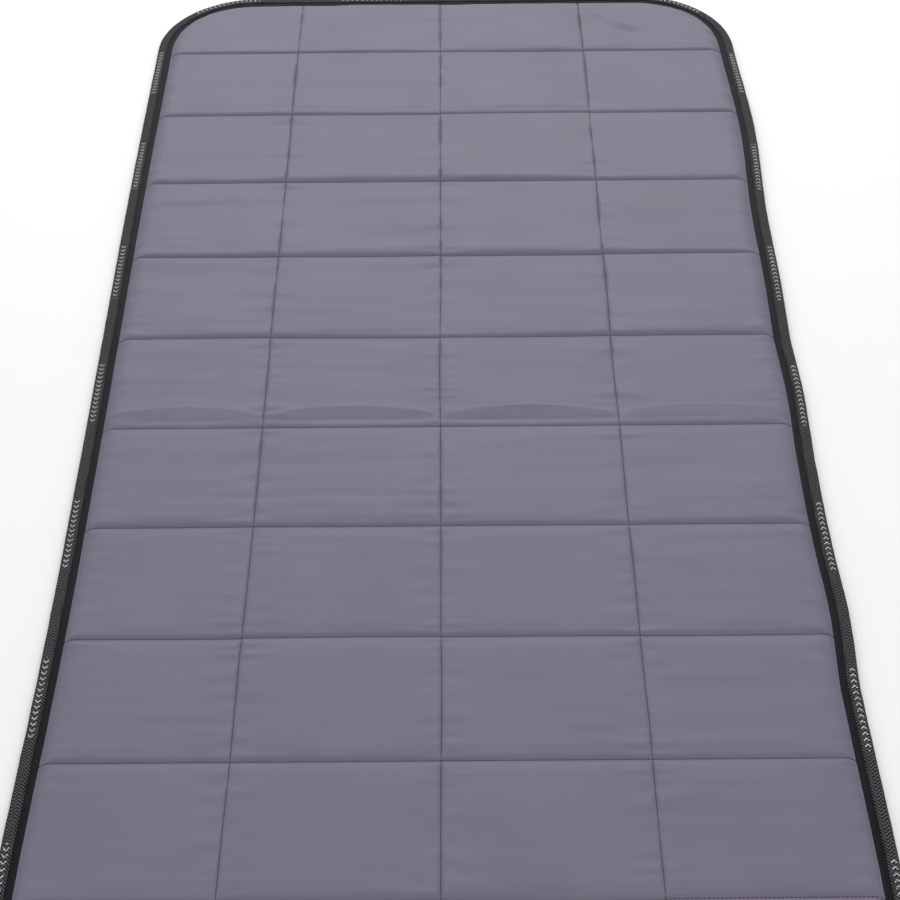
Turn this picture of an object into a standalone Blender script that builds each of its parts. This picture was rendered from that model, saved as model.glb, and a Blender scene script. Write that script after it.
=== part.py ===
"""Infrared sauna blanket: a quilted heating mat that folds in four, modelled lying open.

Units are metres. X runs across the mat, +Y points to its head end and +Z is up. The origin lies on the
floor under the middle of the mat. The mat is four sections of three pad rows each, hinged at three seams.
"""

import math

import bmesh
import bpy
from mathutils import Matrix, Vector

MM = 0.001

# Overall size
LENGTH = 1800 * MM
WIDTH = 800 * MM
CORNER_RADIUS = 130 * MM
CORNER_STEPS = 8

# Clearances
GAP = 0.3 * MM  # between two pieces that touch
SECTION_GAP = 0.5 * MM  # between two sections, at the seam that they fold on
FOLD_SETBACK = 0.8 * MM  # keeps the two folded ends apart at the middle seam
FOLD_CLEARANCE = 0.5 * MM  # from a pad's crown to the axis of an end fold
STACK_CLEARANCE = 1.25 * MM  # from two stacked sections to the axis of the middle fold

# Quilting
ROWS_PER_SECTION = 3
COLUMN_PITCH = 197 * MM
QUILT_SHIFT = -6.5 * MM  # the middle column seam lies this far to the left of the centre line
VALLEY_WIDTH = 1.6 * MM
FLANK_WIDTH = 13 * MM
PAD_HEIGHT = 4.6 * MM  # crown above valley

# Layers, from the floor up
BOTTOM_COVER_THICKNESS = 0.8 * MM
INSULATION_THICKNESS = 3.0 * MM
FOIL_THICKNESS = 0.4 * MM
FELT_THICKNESS = 1.0 * MM
CABLE_DIAMETER = 2.0 * MM
STITCHED_WADDING = 0.7 * MM  # wadding squeezed under a seam
TOP_COVER_THICKNESS = 0.7 * MM

# Edge
BINDING_WIDTH = 12 * MM
BINDING_THICKNESS = 0.9 * MM
FACING_WIDTH = 7.5 * MM  # shown beside the binding
FACING_THICKNESS = 0.4 * MM
STEP_WIDTH = 3.7 * MM  # over which the lower layers rise onto the binding
FELT_MARGIN = 2.5 * MM  # from the facing's inner side to the heater felt and the foil

# Heating cable
CABLE_RUNS = 6
CABLE_MARGIN = 34 * MM  # from the mat's outline to the middle of a cable bend
CABLE_START = 30 * MM  # from the centre line to where each half's cable crosses a seam
CABLE_BEND = 10 * MM
END_MARGIN = 40 * MM  # extra cold strip at the head end
FOOT_MARGIN = 60 * MM  # cold strip at the foot end, which holds the connections
BEND_STEPS = 2

# Power inlet at the foot end
INLET_X = 90 * MM
INLET_WIDTH = 70 * MM
INLET_DEPTH = 38 * MM
INLET_WALL = 1.7 * MM
INLET_SPLIT = 0.3 * MM  # joint between base and lid
SOCKET_WIDTH = 28 * MM
SOCKET_HEIGHT = 7.4 * MM
SOCKET_DEPTH = 14 * MM
CARRIER_DEPTH = 8 * MM
PIN_DIAMETER = 2.2 * MM
PIN_PITCH = 8 * MM
PIN_REACH = 8 * MM  # in front of the carrier
PIN_TAIL = 5 * MM  # behind the carrier
SCREW_SHANK = 2.0 * MM
SCREW_HEAD = 4.0 * MM
SCREW_HEAD_HEIGHT = 1.4 * MM
SCREW_INSET = 5 * MM
SCREW_TIP_WALL = 1.2 * MM
ROUND_STEPS = 12

# Connections beside the inlet
LEAD_DIAMETER = 1.6 * MM
LIVE_OFFSET = 5 * MM  # of the live lead's run behind the inlet
NEUTRAL_OFFSET = 12 * MM
SLEEVE_SIZE = Vector((4.0, 14.0, 2.0)) * MM
CUTOUT_SIZE = Vector((6.0, 16.0, 2.0)) * MM
SENSOR_SIZE = Vector((12.0, 5.0, 2.0)) * MM
SENSOR_OFFSET = 60 * MM  # from the inlet's middle
BLOCK_CHAMFER = 0.3 * MM
LEAD_BEND = 6 * MM

# Derived levels
HALF_LENGTH = LENGTH / 2
HALF_WIDTH = WIDTH / 2
INSULATION_Z = BOTTOM_COVER_THICKNESS + GAP
FOIL_Z = INSULATION_Z + INSULATION_THICKNESS + GAP
FELT_Z = FOIL_Z + FOIL_THICKNESS + GAP
CABLE_Z = FELT_Z + FELT_THICKNESS + GAP + CABLE_DIAMETER / 2
WADDING_Z = CABLE_Z + CABLE_DIAMETER / 2 + GAP
VALLEY_Z = WADDING_Z + STITCHED_WADDING + GAP + TOP_COVER_THICKNESS
CROWN_Z = VALLEY_Z + PAD_HEIGHT
BORDER_LIFT = BINDING_THICKNESS + GAP
BORDER_Z = BORDER_LIFT + INSULATION_Z + INSULATION_THICKNESS + GAP + TOP_COVER_THICKNESS
FACING_Z = BORDER_Z + GAP
BINDING_TOP_Z = FACING_Z + FACING_THICKNESS + GAP + BINDING_THICKNESS
BORDER_WIDTH = BINDING_WIDTH + FACING_WIDTH
PAD_INSET = BORDER_WIDTH + FLANK_WIDTH  # from the outline to a full-height crown
FELT_INSET = BORDER_WIDTH + FELT_MARGIN

# Fold lines and sections
END_FOLD_Y = LENGTH / 4 + FOLD_SETBACK
END_FOLD_Z = CROWN_Z + FOLD_CLEARANCE
MIDDLE_FOLD_Z = 2 * END_FOLD_Z + STACK_CLEARANCE
SECTIONS = {
    "head": (END_FOLD_Y, HALF_LENGTH),
    "upper": (0.0, END_FOLD_Y),
    "lower": (-END_FOLD_Y, 0.0),
    "foot": (-HALF_LENGTH, -END_FOLD_Y),
}

# Colours (linear RGB), roughness and metallic value
GREY_FABRIC = ((0.216, 0.204, 0.258), 0.55, 0.0)
BLACK_FABRIC = ((0.020, 0.020, 0.023), 0.60, 0.0)
BLACK_WEBBING = ((0.040, 0.040, 0.042), 0.85, 0.0)
DARK_LINING = ((0.030, 0.030, 0.034), 0.70, 0.0)
WHITE_WADDING = ((0.80, 0.80, 0.78), 0.95, 0.0)
GREY_FELT = ((0.45, 0.45, 0.44), 0.95, 0.0)
SILVER_FOIL = ((0.80, 0.81, 0.82), 0.25, 1.0)
CREAM_FELT = ((0.72, 0.68, 0.58), 0.95, 0.0)
RED_SILICONE = ((0.45, 0.05, 0.04), 0.50, 0.0)
BLACK_PLASTIC = ((0.025, 0.025, 0.027), 0.45, 0.0)
CREAM_NYLON = ((0.70, 0.68, 0.62), 0.45, 0.0)
BRASS = ((0.72, 0.53, 0.24), 0.30, 1.0)
ZINC_STEEL = ((0.55, 0.56, 0.58), 0.35, 1.0)
BROWN_SILICONE = ((0.16, 0.07, 0.03), 0.50, 0.0)
BLUE_SILICONE = ((0.04, 0.09, 0.30), 0.50, 0.0)
WHITE_SILICONE = ((0.75, 0.75, 0.75), 0.50, 0.0)
CLEAR_SLEEVE = ((0.62, 0.62, 0.58), 0.35, 0.0)
WHITE_CERAMIC = ((0.80, 0.79, 0.75), 0.40, 0.0)


def clear_scene():
    """Removes every object that the scene holds."""
    for old in list(bpy.data.objects):
        bpy.data.objects.remove(old, do_unlink=True)


def finish_material(name, finish):
    """Makes the material of one object."""
    colour, roughness, metallic = finish
    material = bpy.data.materials.new(name)
    material.use_nodes = True
    shader = material.node_tree.nodes["Principled BSDF"]
    shader.inputs["Base Color"].default_value = (*colour, 1.0)
    shader.inputs["Roughness"].default_value = roughness
    shader.inputs["Metallic"].default_value = metallic
    material.diffuse_color = (*colour, 1.0)
    return material


def add_object(name, data, finish):
    """Links an object that holds the given mesh or curve."""
    made = bpy.data.objects.new(name, data)
    bpy.context.collection.objects.link(made)
    data.materials.append(finish_material(name, finish))
    return made


def add_mesh(name, bm, finish):
    """Turns a bmesh into an object, with its faces pointing out."""
    bmesh.ops.remove_doubles(bm, verts=bm.verts[:], dist=1e-7)
    bmesh.ops.recalc_face_normals(bm, faces=bm.faces[:])
    if bm.calc_volume(signed=True) < 0:
        bmesh.ops.reverse_faces(bm, faces=bm.faces[:])
    mesh = bpy.data.meshes.new(name)
    bm.to_mesh(mesh)
    bm.free()
    return add_object(name, mesh, finish)


# Plan of the mat


def edge_distance(x, y):
    """How far inside the mat's outline a point lies, with each rounded corner taken as its flat facets."""
    past_x = abs(x) - (HALF_WIDTH - CORNER_RADIUS)
    past_y = abs(y) - (HALF_LENGTH - CORNER_RADIUS)
    if past_x <= 0 or past_y <= 0:
        return min(HALF_WIDTH - abs(x), HALF_LENGTH - abs(y))
    facet = math.pi / 2 / CORNER_STEPS
    angle = math.atan2(past_y, past_x)
    middle = (min(int(angle / facet), CORNER_STEPS - 1) + 0.5) * facet
    return CORNER_RADIUS * math.cos(facet / 2) - math.hypot(past_x, past_y) * math.cos(angle - middle)


def column_seams():
    """X of the three seams that run along the mat."""
    return [QUILT_SHIFT + k * COLUMN_PITCH for k in (-1, 0, 1)]


def section_row_seams(section):
    """Y of the seams inside one section, without the ones that it folds on."""
    low, high = SECTIONS[section]
    pitch = (high - low) / ROWS_PER_SECTION
    return [low + k * pitch for k in range(1, ROWS_PER_SECTION)]


def fold_seams(section):
    """Y of the seams that join a section to its neighbours."""
    return [y for y in SECTIONS[section] if abs(y) < HALF_LENGTH]


def ramp(distance, start, width):
    """Runs from 0 at start to 1 past start + width."""
    return min(1.0, max(0.0, (distance - start) / width))


def cover_height(x, y, section):
    """Upper surface of the quilted top cover."""
    from_edge = ramp(edge_distance(x, y), BORDER_WIDTH, FLANK_WIDTH)
    seams = [abs(x - s) for s in column_seams()]
    seams += [abs(y - s) for s in section_row_seams(section) + fold_seams(section)]
    from_seam = ramp(min(seams), VALLEY_WIDTH / 2, FLANK_WIDTH)
    valley = BORDER_Z + (VALLEY_Z - BORDER_Z) * from_edge
    return valley + PAD_HEIGHT * min(from_edge, from_seam)


def border_step(x, y):
    """How far the lower layers are lifted by the binding that wraps under them."""
    return BORDER_LIFT * (1.0 - ramp(edge_distance(x, y), BINDING_WIDTH + GAP, STEP_WIDTH))


def quilt_cuts(seams):
    """Lines where the quilted surface changes slope beside the given seams."""
    offsets = (VALLEY_WIDTH / 2, VALLEY_WIDTH / 2 + FLANK_WIDTH)
    return [s + sign * d for s in seams for d in offsets for sign in (-1, 1)]


def rounded_plan(inset, rings):
    """Flat plan of the whole mat, inset from its outline, with ring lines at further insets."""
    bm = bmesh.new()
    bmesh.ops.create_grid(bm, x_segments=1, y_segments=1, size=0.5)
    width, length = WIDTH - 2 * inset, LENGTH - 2 * inset
    bmesh.ops.scale(bm, vec=(width, length, 1), verts=bm.verts[:])
    bmesh.ops.bevel(bm, geom=bm.verts[:], offset=CORNER_RADIUS - inset, segments=CORNER_STEPS,
                    profile=0.5, affect="VERTICES", material=-1)
    middle, reached = bm.faces[:], inset
    for ring in rings:
        bmesh.ops.inset_region(bm, faces=middle, thickness=ring - reached,
                                 use_boundary=True, use_even_offset=True)
        reached = ring
    return bm


def cut_line(bm, point, normal, **clear):
    """Cuts a plan along one line, and removes a side of it if asked."""
    geom = bm.verts[:] + bm.edges[:] + bm.faces[:]
    bmesh.ops.bisect_plane(bm, geom=geom, dist=1e-7, plane_co=point, plane_no=normal, **clear)


def cut_notch(bm, clearance):
    """Takes the inlet's place out of a plan."""
    left, right, top = notch_lines(clearance)
    cut_line(bm, (left, 0, 0), (1, 0, 0))
    cut_line(bm, (right, 0, 0), (1, 0, 0))
    cut_line(bm, (0, top, 0), (0, 1, 0))
    inside = [f for f in bm.faces if left < f.calc_center_median().x < right
              and f.calc_center_median().y < top]
    bmesh.ops.delete(bm, geom=inside, context="FACES")


def notch_lines(clearance):
    """Left, right and inner side of the room that the inlet takes."""
    half = INLET_WIDTH / 2 + clearance
    return INLET_X - half, INLET_X + half, -HALF_LENGTH + INLET_DEPTH + clearance


def trim_to_section(bm, section):
    """Keeps one section of a plan, half a section gap short of each seam that it folds on."""
    low, high = SECTIONS[section]
    if -HALF_LENGTH < low:
        cut_line(bm, (0, low + SECTION_GAP / 2, 0), (0, 1, 0), clear_inner=True)
    if high < HALF_LENGTH:
        cut_line(bm, (0, high - SECTION_GAP / 2, 0), (0, 1, 0), clear_outer=True)


def split_quads(bm, height):
    """Splits each four-sided face from its highest corner, so that stacked layers crease alike."""
    for face in bm.faces[:]:
        corners = face.verts[:]
        if len(corners) == 4:
            top = max(range(4), key=lambda k: round(height(corners[k].co.x, corners[k].co.y), 6))
            bmesh.utils.face_split(face, corners[top], corners[(top + 2) % 4])
    bmesh.ops.triangulate(bm, faces=[f for f in bm.faces if len(f.verts) > 3])


def raise_sheet(bm, lower, upper):
    """Turns a flat plan into a solid between two height functions, with its flat areas in one face."""
    made = bmesh.ops.extrude_face_region(bm, geom=bm.faces[:])
    raised = {v for v in made["geom"] if isinstance(v, bmesh.types.BMVert)}
    for vert in bm.verts:
        surface = upper if vert in raised else lower
        vert.co.z = surface(vert.co.x, vert.co.y)
    bmesh.ops.recalc_face_normals(bm, faces=bm.faces[:])
    bmesh.ops.dissolve_limit(bm, angle_limit=math.radians(0.05), verts=bm.verts[:], edges=bm.edges[:])
    bmesh.ops.triangulate(bm, faces=bm.faces[:])


# Layers of one section


def add_top_cover(section):
    """Quilted grey top cover, raised to a crown in each pad."""
    bm = rounded_plan(BINDING_THICKNESS + GAP, (BORDER_WIDTH, PAD_INSET))
    cut_quilt(bm, section)
    raise_sheet(bm, lambda x, y: cover_height(x, y, section) - TOP_COVER_THICKNESS,
                lambda x, y: cover_height(x, y, section))
    add_mesh(f"top_cover_{section}", bm, GREY_FABRIC)


def cut_quilt(bm, section):
    """Cuts a plan to one section's quilting lines."""
    trim_to_section(bm, section)
    for x in quilt_cuts(column_seams()):
        cut_line(bm, (x, 0, 0), (1, 0, 0))
    for y in quilt_cuts(section_row_seams(section) + fold_seams(section)):
        cut_line(bm, (0, y, 0), (0, 1, 0))
    if section == "foot":
        cut_notch(bm, GAP)
    split_quads(bm, lambda x, y: cover_height(x, y, section))


def add_wadding(section):
    """Soft filling that gives the pads their height."""
    bm = rounded_plan(PAD_INSET, ())
    cut_quilt(bm, section)
    under = TOP_COVER_THICKNESS + GAP
    raise_sheet(bm, lambda x, y: WADDING_Z, lambda x, y: cover_height(x, y, section) - under)
    add_mesh(f"wadding_{section}", bm, WHITE_WADDING)


def add_plate(name, section, inset, level, thickness, finish, rings=(), lift=None):
    """Plain layer of even thickness, lifted at its border where it runs over the binding."""
    bm = rounded_plan(inset, rings)
    trim_to_section(bm, section)
    if section == "foot" and name != "bottom_cover":
        cut_notch(bm, GAP)
    rise = lift or (lambda x, y: 0.0)
    raise_sheet(bm, lambda x, y: level + rise(x, y), lambda x, y: level + thickness + rise(x, y))
    add_mesh(f"{name}_{section}", bm, finish)


def add_flat_layers(section):
    """Layers under the wadding: heater felt, foil, insulation and the cover against the floor."""
    edge = BINDING_THICKNESS + GAP
    step = (BINDING_WIDTH + GAP, BINDING_WIDTH + GAP + STEP_WIDTH)
    add_plate("heater_felt", section, FELT_INSET, FELT_Z, FELT_THICKNESS, CREAM_FELT)
    add_plate("reflective_foil", section, FELT_INSET, FOIL_Z, FOIL_THICKNESS, SILVER_FOIL)
    add_plate("insulation", section, edge, INSULATION_Z, INSULATION_THICKNESS, GREY_FELT,
              step, border_step)
    add_plate("bottom_cover", section, edge, 0.0, BOTTOM_COVER_THICKNESS, DARK_LINING,
              step, border_step)


# Heating cable


def half_width_at(y):
    """Half the mat's width at a distance along it, which shrinks in the rounded corners."""
    past = abs(y) - (HALF_LENGTH - CORNER_RADIUS)
    if past <= 0:
        return HALF_WIDTH
    return HALF_WIDTH - CORNER_RADIUS + math.sqrt(max(0.0, CORNER_RADIUS ** 2 - past ** 2))


def rounded_path(corners, radius):
    """Rounds the corners of a route, and returns the points along it."""
    points = [corners[0]]
    for before, corner, after in zip(corners, corners[1:], corners[2:]):
        to_before, to_after = before - corner, after - corner
        reach = min(radius, to_before.length / 2, to_after.length / 2)
        a, b = corner + to_before.normalized() * reach, corner + to_after.normalized() * reach
        centre = a + b - corner
        for k in range(BEND_STEPS + 1):
            turn = math.pi / 2 * k / BEND_STEPS
            points.append(centre + (a - centre) * math.cos(turn) + (b - centre) * math.sin(turn))
    points.append(corners[-1])
    return points


def run_levels(section):
    """Y of the heating cable's runs across one section, from the foot side up."""
    low, high = SECTIONS[section]
    low += FOOT_MARGIN if section == "foot" else 0.0
    high -= END_MARGIN if section == "head" else 0.0
    pitch = (high - low) / CABLE_RUNS
    return [low + (k + 0.5) * pitch for k in range(CABLE_RUNS)], pitch


def half_route(section, side):
    """Corners of one half's cable, from the foot side of a section to its head side."""
    levels, pitch = run_levels(section)
    low, high = SECTIONS[section]
    start = low + SECTION_GAP / 2
    if section == "foot":
        start = lead_lines()[2] + (CUTOUT_SIZE.y if side < 0 else SLEEVE_SIZE.y) + GAP
    corners = [Vector((side * CABLE_START, start))]
    for k, y in enumerate(levels):
        pair = levels[k + 1] if k % 2 == 0 else levels[k - 1]
        far = side * (min(half_width_at(y), half_width_at(pair)) - CABLE_MARGIN)
        near = side * CABLE_START if k in (0, CABLE_RUNS - 1) else side * (CABLE_START + pitch / 2)
        run = [Vector((near, y)), Vector((far, y))]
        corners += run if k % 2 == 0 else run[::-1]
    if section != "head":
        corners.append(Vector((side * CABLE_START, high - SECTION_GAP / 2)))
    return corners


def add_tube(name, corners, diameter, radius, finish):
    """Round cable along a flat route, in the layer that holds the heating cable."""
    curve = bpy.data.curves.new(name, "CURVE")
    curve.dimensions = "3D"
    curve.bevel_depth = diameter / 2
    curve.bevel_resolution = 1
    curve.use_fill_caps = True
    points = rounded_path(corners, radius)
    spline = curve.splines.new("POLY")
    spline.points.add(len(points) - 1)
    for target, point in zip(spline.points, points):
        target.co = (point.x, point.y, CABLE_Z, 1.0)
    add_object(name, curve, finish)


def add_heating_cable(section):
    """Heating cable of one section: up the left half and down the right, joined at the head."""
    left, right = half_route(section, -1), half_route(section, 1)
    routes = {f"heating_cable_{section}_left": left, f"heating_cable_{section}_right": right}
    if section == "head":
        routes = {"heating_cable_head": left[:-1] + right[:-1][::-1]}
    for name, corners in routes.items():
        add_tube(name, corners, CABLE_DIAMETER, CABLE_BEND, RED_SILICONE)


# Edge of the mat


def sweep(name, profile, start, moves, finish):
    """Runs a closed profile of (inset, z) points along the mat's edge.

    start is (x, y, heading in degrees), with the mat on the right of the heading; each move is a
    length to go straight or a (radius, angle) pair to turn right.
    """
    x, y, heading = start
    bm = bmesh.new()
    bm.faces.new([bm.verts.new((inset, 0.0, z)) for inset, z in profile])
    place = Matrix.Translation((x, y, 0)) @ Matrix.Rotation(math.radians(heading - 90), 4, "Z")
    bmesh.ops.transform(bm, matrix=place, verts=bm.verts[:])
    here, angle, front, first = Vector((x, y, 0)), math.radians(heading), bm.faces[:], True
    for move in moves:
        inner = [] if first else front
        along = Vector((math.cos(angle), math.sin(angle), 0))
        if isinstance(move, tuple):
            radius, turn = move[0], math.radians(move[1])
            centre = here + Vector((along.y, -along.x, 0)) * radius
            made = bmesh.ops.spin(bm, geom=front, cent=centre, axis=(0, 0, 1), angle=-turn,
                                  steps=CORNER_STEPS, use_duplicate=False)["geom_last"]
            here = centre + Matrix.Rotation(-turn, 3, "Z") @ (here - centre)
            angle -= turn
        else:
            made = bmesh.ops.extrude_face_region(bm, geom=front)["geom"]
            moved = [v for v in made if isinstance(v, bmesh.types.BMVert)]
            bmesh.ops.translate(bm, vec=along * move, verts=moved)
            here = here + along * move
        bmesh.ops.delete(bm, geom=[f for f in inner if f.is_valid], context="FACES_ONLY")
        front, first = [f for f in made if isinstance(f, bmesh.types.BMFace)], False
    return add_mesh(name, bm, finish)


def binding_profile():
    """Tape folded round the edge: top leg, outer wall and bottom leg."""
    t, w, top = BINDING_THICKNESS, BINDING_WIDTH, BINDING_TOP_Z
    return [(0, 0), (w, 0), (w, t), (t, t), (t, top - t), (w, top - t), (w, top), (0, top)]


def facing_profile():
    """Smooth strip that shows between the binding and the grey cover."""
    near, far = BINDING_THICKNESS + GAP, BORDER_WIDTH
    low, high = FACING_Z, FACING_Z + FACING_THICKNESS
    return [(near, low), (far, low), (far, high), (near, high)]


def edge_paths():
    """Name, start and moves of each stretch of the edge."""
    gap = SECTION_GAP / 2
    end_run = HALF_LENGTH - CORNER_RADIUS - END_FOLD_Y - gap
    middle_run = END_FOLD_Y - 2 * gap
    across = WIDTH - 2 * CORNER_RADIUS
    corner = (CORNER_RADIUS, 90)
    left_stop, right_stop, _ = notch_lines(GAP)
    arc_x = HALF_WIDTH - CORNER_RADIUS
    return [
        ("head", (-HALF_WIDTH, END_FOLD_Y + gap, 90), [end_run, corner, across, corner, end_run]),
        ("upper_left", (-HALF_WIDTH, gap, 90), [middle_run]),
        ("upper_right", (HALF_WIDTH, END_FOLD_Y - gap, 270), [middle_run]),
        ("lower_left", (-HALF_WIDTH, -END_FOLD_Y + gap, 90), [middle_run]),
        ("lower_right", (HALF_WIDTH, -gap, 270), [middle_run]),
        ("foot_left", (left_stop, -HALF_LENGTH, 180), [left_stop + arc_x, corner, end_run]),
        ("foot_right", (HALF_WIDTH, -END_FOLD_Y - gap, 270), [end_run, corner, arc_x - right_stop]),
    ]


def add_edge():
    """Woven binding tape and the smooth facing strip inside it, all the way round."""
    for place, start, moves in edge_paths():
        sweep(f"binding_{place}", binding_profile(), start, moves, BLACK_WEBBING)
        sweep(f"edge_facing_{place}", facing_profile(), start, moves, BLACK_FABRIC)


# Power inlet


def box(low, high):
    """Bmesh box between two corners."""
    bm = bmesh.new()
    bmesh.ops.create_cube(bm, size=1.0)
    low, high = Vector(low), Vector(high)
    bmesh.ops.scale(bm, vec=high - low, verts=bm.verts[:])
    bmesh.ops.translate(bm, vec=(low + high) / 2, verts=bm.verts[:])
    return bm


def cut_with(target, bm, label):
    """Cuts a bmesh shape out of an object, and keeps the cutter hidden."""
    mesh = bpy.data.meshes.new(label)
    bmesh.ops.recalc_face_normals(bm, faces=bm.faces[:])
    bm.to_mesh(mesh)
    bm.free()
    cutter = bpy.data.objects.new(label, mesh)
    bpy.context.collection.objects.link(cutter)
    cutter.hide_render = True
    cutter.display_type = "WIRE"
    modifier = target.modifiers.new(label, "BOOLEAN")
    modifier.operation = "DIFFERENCE"
    modifier.solver = "EXACT"
    modifier.object = cutter


def turned(profile):
    """Solid turned about Z from (radius, z) points that start and end on the axis."""
    bm = bmesh.new()
    points = [bm.verts.new((r, 0, z)) for r, z in profile]
    edges = [bm.edges.new(pair) for pair in zip(points, points[1:])]
    bmesh.ops.spin(bm, geom=points + edges, axis=(0, 0, 1), angle=2 * math.pi, steps=ROUND_STEPS,
                   use_merge=True)
    bmesh.ops.remove_doubles(bm, verts=bm.verts[:], dist=1e-6)
    return bm


def inlet_levels():
    """Floor, split and top of the inlet, with its socket centred on the cable layer."""
    low = CABLE_Z - SOCKET_HEIGHT / 2 - INLET_WALL
    return low, CABLE_Z, CABLE_Z + SOCKET_HEIGHT / 2 + INLET_WALL


def screw_places():
    """Middle of the screw at each end of the inlet."""
    across = INLET_WIDTH / 2 - SCREW_INSET
    return {name: Vector((INLET_X + side * across, -HALF_LENGTH + INLET_DEPTH / 2, 0))
            for name, side in (("left", -1), ("right", 1))}


def screw_profile(play):
    """Outline of a screw, or of the hole that it sits in when play is more than 0."""
    low, _, high = inlet_levels()
    tip, seat = low + SCREW_TIP_WALL - play, high - SCREW_HEAD_HEIGHT - GAP - play
    head, shank = SCREW_HEAD / 2 + play, SCREW_SHANK / 2 + play
    top = high + INLET_WALL if play else seat + SCREW_HEAD_HEIGHT
    return [(0, tip), (shank, tip), (shank, seat), (head, seat), (head, top), (0, top)]


def screw_shape(middle, play):
    """One screw, or its hole."""
    bm = turned(screw_profile(play))
    bmesh.ops.translate(bm, vec=middle, verts=bm.verts[:])
    return bm


def add_inlet_shell(name, low, high):
    """Half of the inlet's housing, with its share of the socket, lead way and screw holes."""
    front, back = -HALF_LENGTH, -HALF_LENGTH + INLET_DEPTH
    half = INLET_WIDTH / 2
    shell = add_mesh(name, box((INLET_X - half, front, low), (INLET_X + half, back, high)),
                     BLACK_PLASTIC)
    room = SOCKET_WIDTH / 2
    floor, _, roof = inlet_levels()
    cut_with(shell, box((INLET_X - room, front - INLET_WALL, floor + INLET_WALL),
                        (INLET_X + room, back - INLET_WALL, roof - INLET_WALL)), f"{name}_room")
    way = PIN_PITCH + LEAD_DIAMETER
    cut_with(shell, box((INLET_X - way, back - 2 * INLET_WALL, CABLE_Z - LEAD_DIAMETER / 2 - GAP),
                        (INLET_X + way, back + INLET_WALL, CABLE_Z + LEAD_DIAMETER / 2 + GAP)),
             f"{name}_lead_way")
    for side, middle in screw_places().items():
        cut_with(shell, screw_shape(middle, GAP), f"{name}_{side}_screw_hole")


def pin_places():
    """X of each contact pin."""
    return {name: INLET_X + k * PIN_PITCH for name, k in (("live", -1), ("neutral", 0), ("sensor", 1))}


def carrier_front():
    """Y of the carrier's front, which is the floor of the socket."""
    return -HALF_LENGTH + SOCKET_DEPTH


def pin_back():
    """Y of the pins' tails."""
    return carrier_front() + CARRIER_DEPTH + PIN_TAIL


def pin_shape(x, play):
    """One contact pin, or its hole in the carrier."""
    bm = bmesh.new()
    length = PIN_REACH + CARRIER_DEPTH + PIN_TAIL
    middle = (carrier_front() - PIN_REACH + pin_back()) / 2
    radius = PIN_DIAMETER / 2 + play
    place = Matrix.Translation((x, middle, CABLE_Z)) @ Matrix.Rotation(math.pi / 2, 4, "X")
    bmesh.ops.create_cone(bm, cap_ends=True, segments=ROUND_STEPS, radius1=radius, radius2=radius,
                          depth=length, matrix=place)
    return bm


def add_inlet():
    """Housing, pin carrier, pins and screws of the power inlet."""
    low, split, high = inlet_levels()
    add_inlet_shell("inlet_base", low, split - INLET_SPLIT / 2)
    add_inlet_shell("inlet_lid", split + INLET_SPLIT / 2, high)
    for side, middle in screw_places().items():
        add_mesh(f"inlet_screw_{side}", screw_shape(middle, 0.0), ZINC_STEEL)
    half, front = SOCKET_WIDTH / 2 - GAP, carrier_front()
    floor, roof = low + INLET_WALL + GAP, high - INLET_WALL - GAP
    carrier = add_mesh("pin_carrier", box((INLET_X - half, front, floor),
                                          (INLET_X + half, front + CARRIER_DEPTH, roof)), CREAM_NYLON)
    for pole, x in pin_places().items():
        cut_with(carrier, pin_shape(x, GAP), f"{pole}_pin_hole")
        add_mesh(f"contact_pin_{pole}", pin_shape(x, 0.0), BRASS)


# Connections between the inlet and the heating cable


def lead_lines():
    """Y of the live and the neutral lead's runs, and of the end of both leads past them."""
    back = -HALF_LENGTH + INLET_DEPTH
    return back + LIVE_OFFSET, back + NEUTRAL_OFFSET, back + NEUTRAL_OFFSET + LEAD_BEND


def block(name, middle, size, finish):
    """Small box-shaped component with its middle at a point."""
    bm = box(middle - size / 2, middle + size / 2)
    bmesh.ops.bevel(bm, geom=bm.edges[:], offset=BLOCK_CHAMFER, segments=1, profile=0.5, affect="EDGES",
                    material=-1)
    return add_mesh(name, bm, finish)


def add_connections():
    """Leads, splice sleeve, thermal cut-out and temperature sensor."""
    live, neutral, sensor = pin_places().values()
    tail = pin_back() + GAP
    live_y, neutral_y, end = lead_lines()
    sensor_x = INLET_X + SENSOR_OFFSET
    routes = {
        "lead_live": (BROWN_SILICONE, (live, tail), (live, live_y), (-CABLE_START, live_y),
                      (-CABLE_START, end - GAP)),
        "lead_neutral": (BLUE_SILICONE, (neutral, tail), (neutral, neutral_y), (CABLE_START, neutral_y),
                         (CABLE_START, end - GAP)),
        "lead_sensor": (WHITE_SILICONE, (sensor, tail), (sensor, live_y),
                        (sensor_x - SENSOR_SIZE.x / 2 - GAP, live_y)),
    }
    for name, (finish, *corners) in routes.items():
        add_tube(name, [Vector(c) for c in corners], LEAD_DIAMETER, LEAD_BEND, finish)
    block("temperature_sensor", Vector((sensor_x, live_y, CABLE_Z)), SENSOR_SIZE, BRASS)
    for name, x, size, finish in (("thermal_cutout", -CABLE_START, CUTOUT_SIZE, WHITE_CERAMIC),
                                  ("splice_sleeve", CABLE_START, SLEEVE_SIZE, CLEAR_SLEEVE)):
        block(name, Vector((x, end + size.y / 2, CABLE_Z)), size, finish)


def build():
    """Builds the whole mat."""
    clear_scene()
    for section in SECTIONS:
        add_top_cover(section)
        add_wadding(section)
        add_heating_cable(section)
        add_flat_layers(section)
    add_edge()
    add_inlet()
    add_connections()


build()
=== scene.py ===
"""Visual model of an infrared sauna blanket: a quilted heating mat, lying open and flat on a pale floor.

Units are metres, in the part's own frame. X runs across the mat, +Y points to its head end and +Z is up.
The covers, the edge and the threads are made in three spans, and each span crosses one of the mat's folds.
"""

import logging
import math
from dataclasses import dataclass
from enum import Enum
from functools import cached_property
from typing import Callable, Sequence

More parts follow.
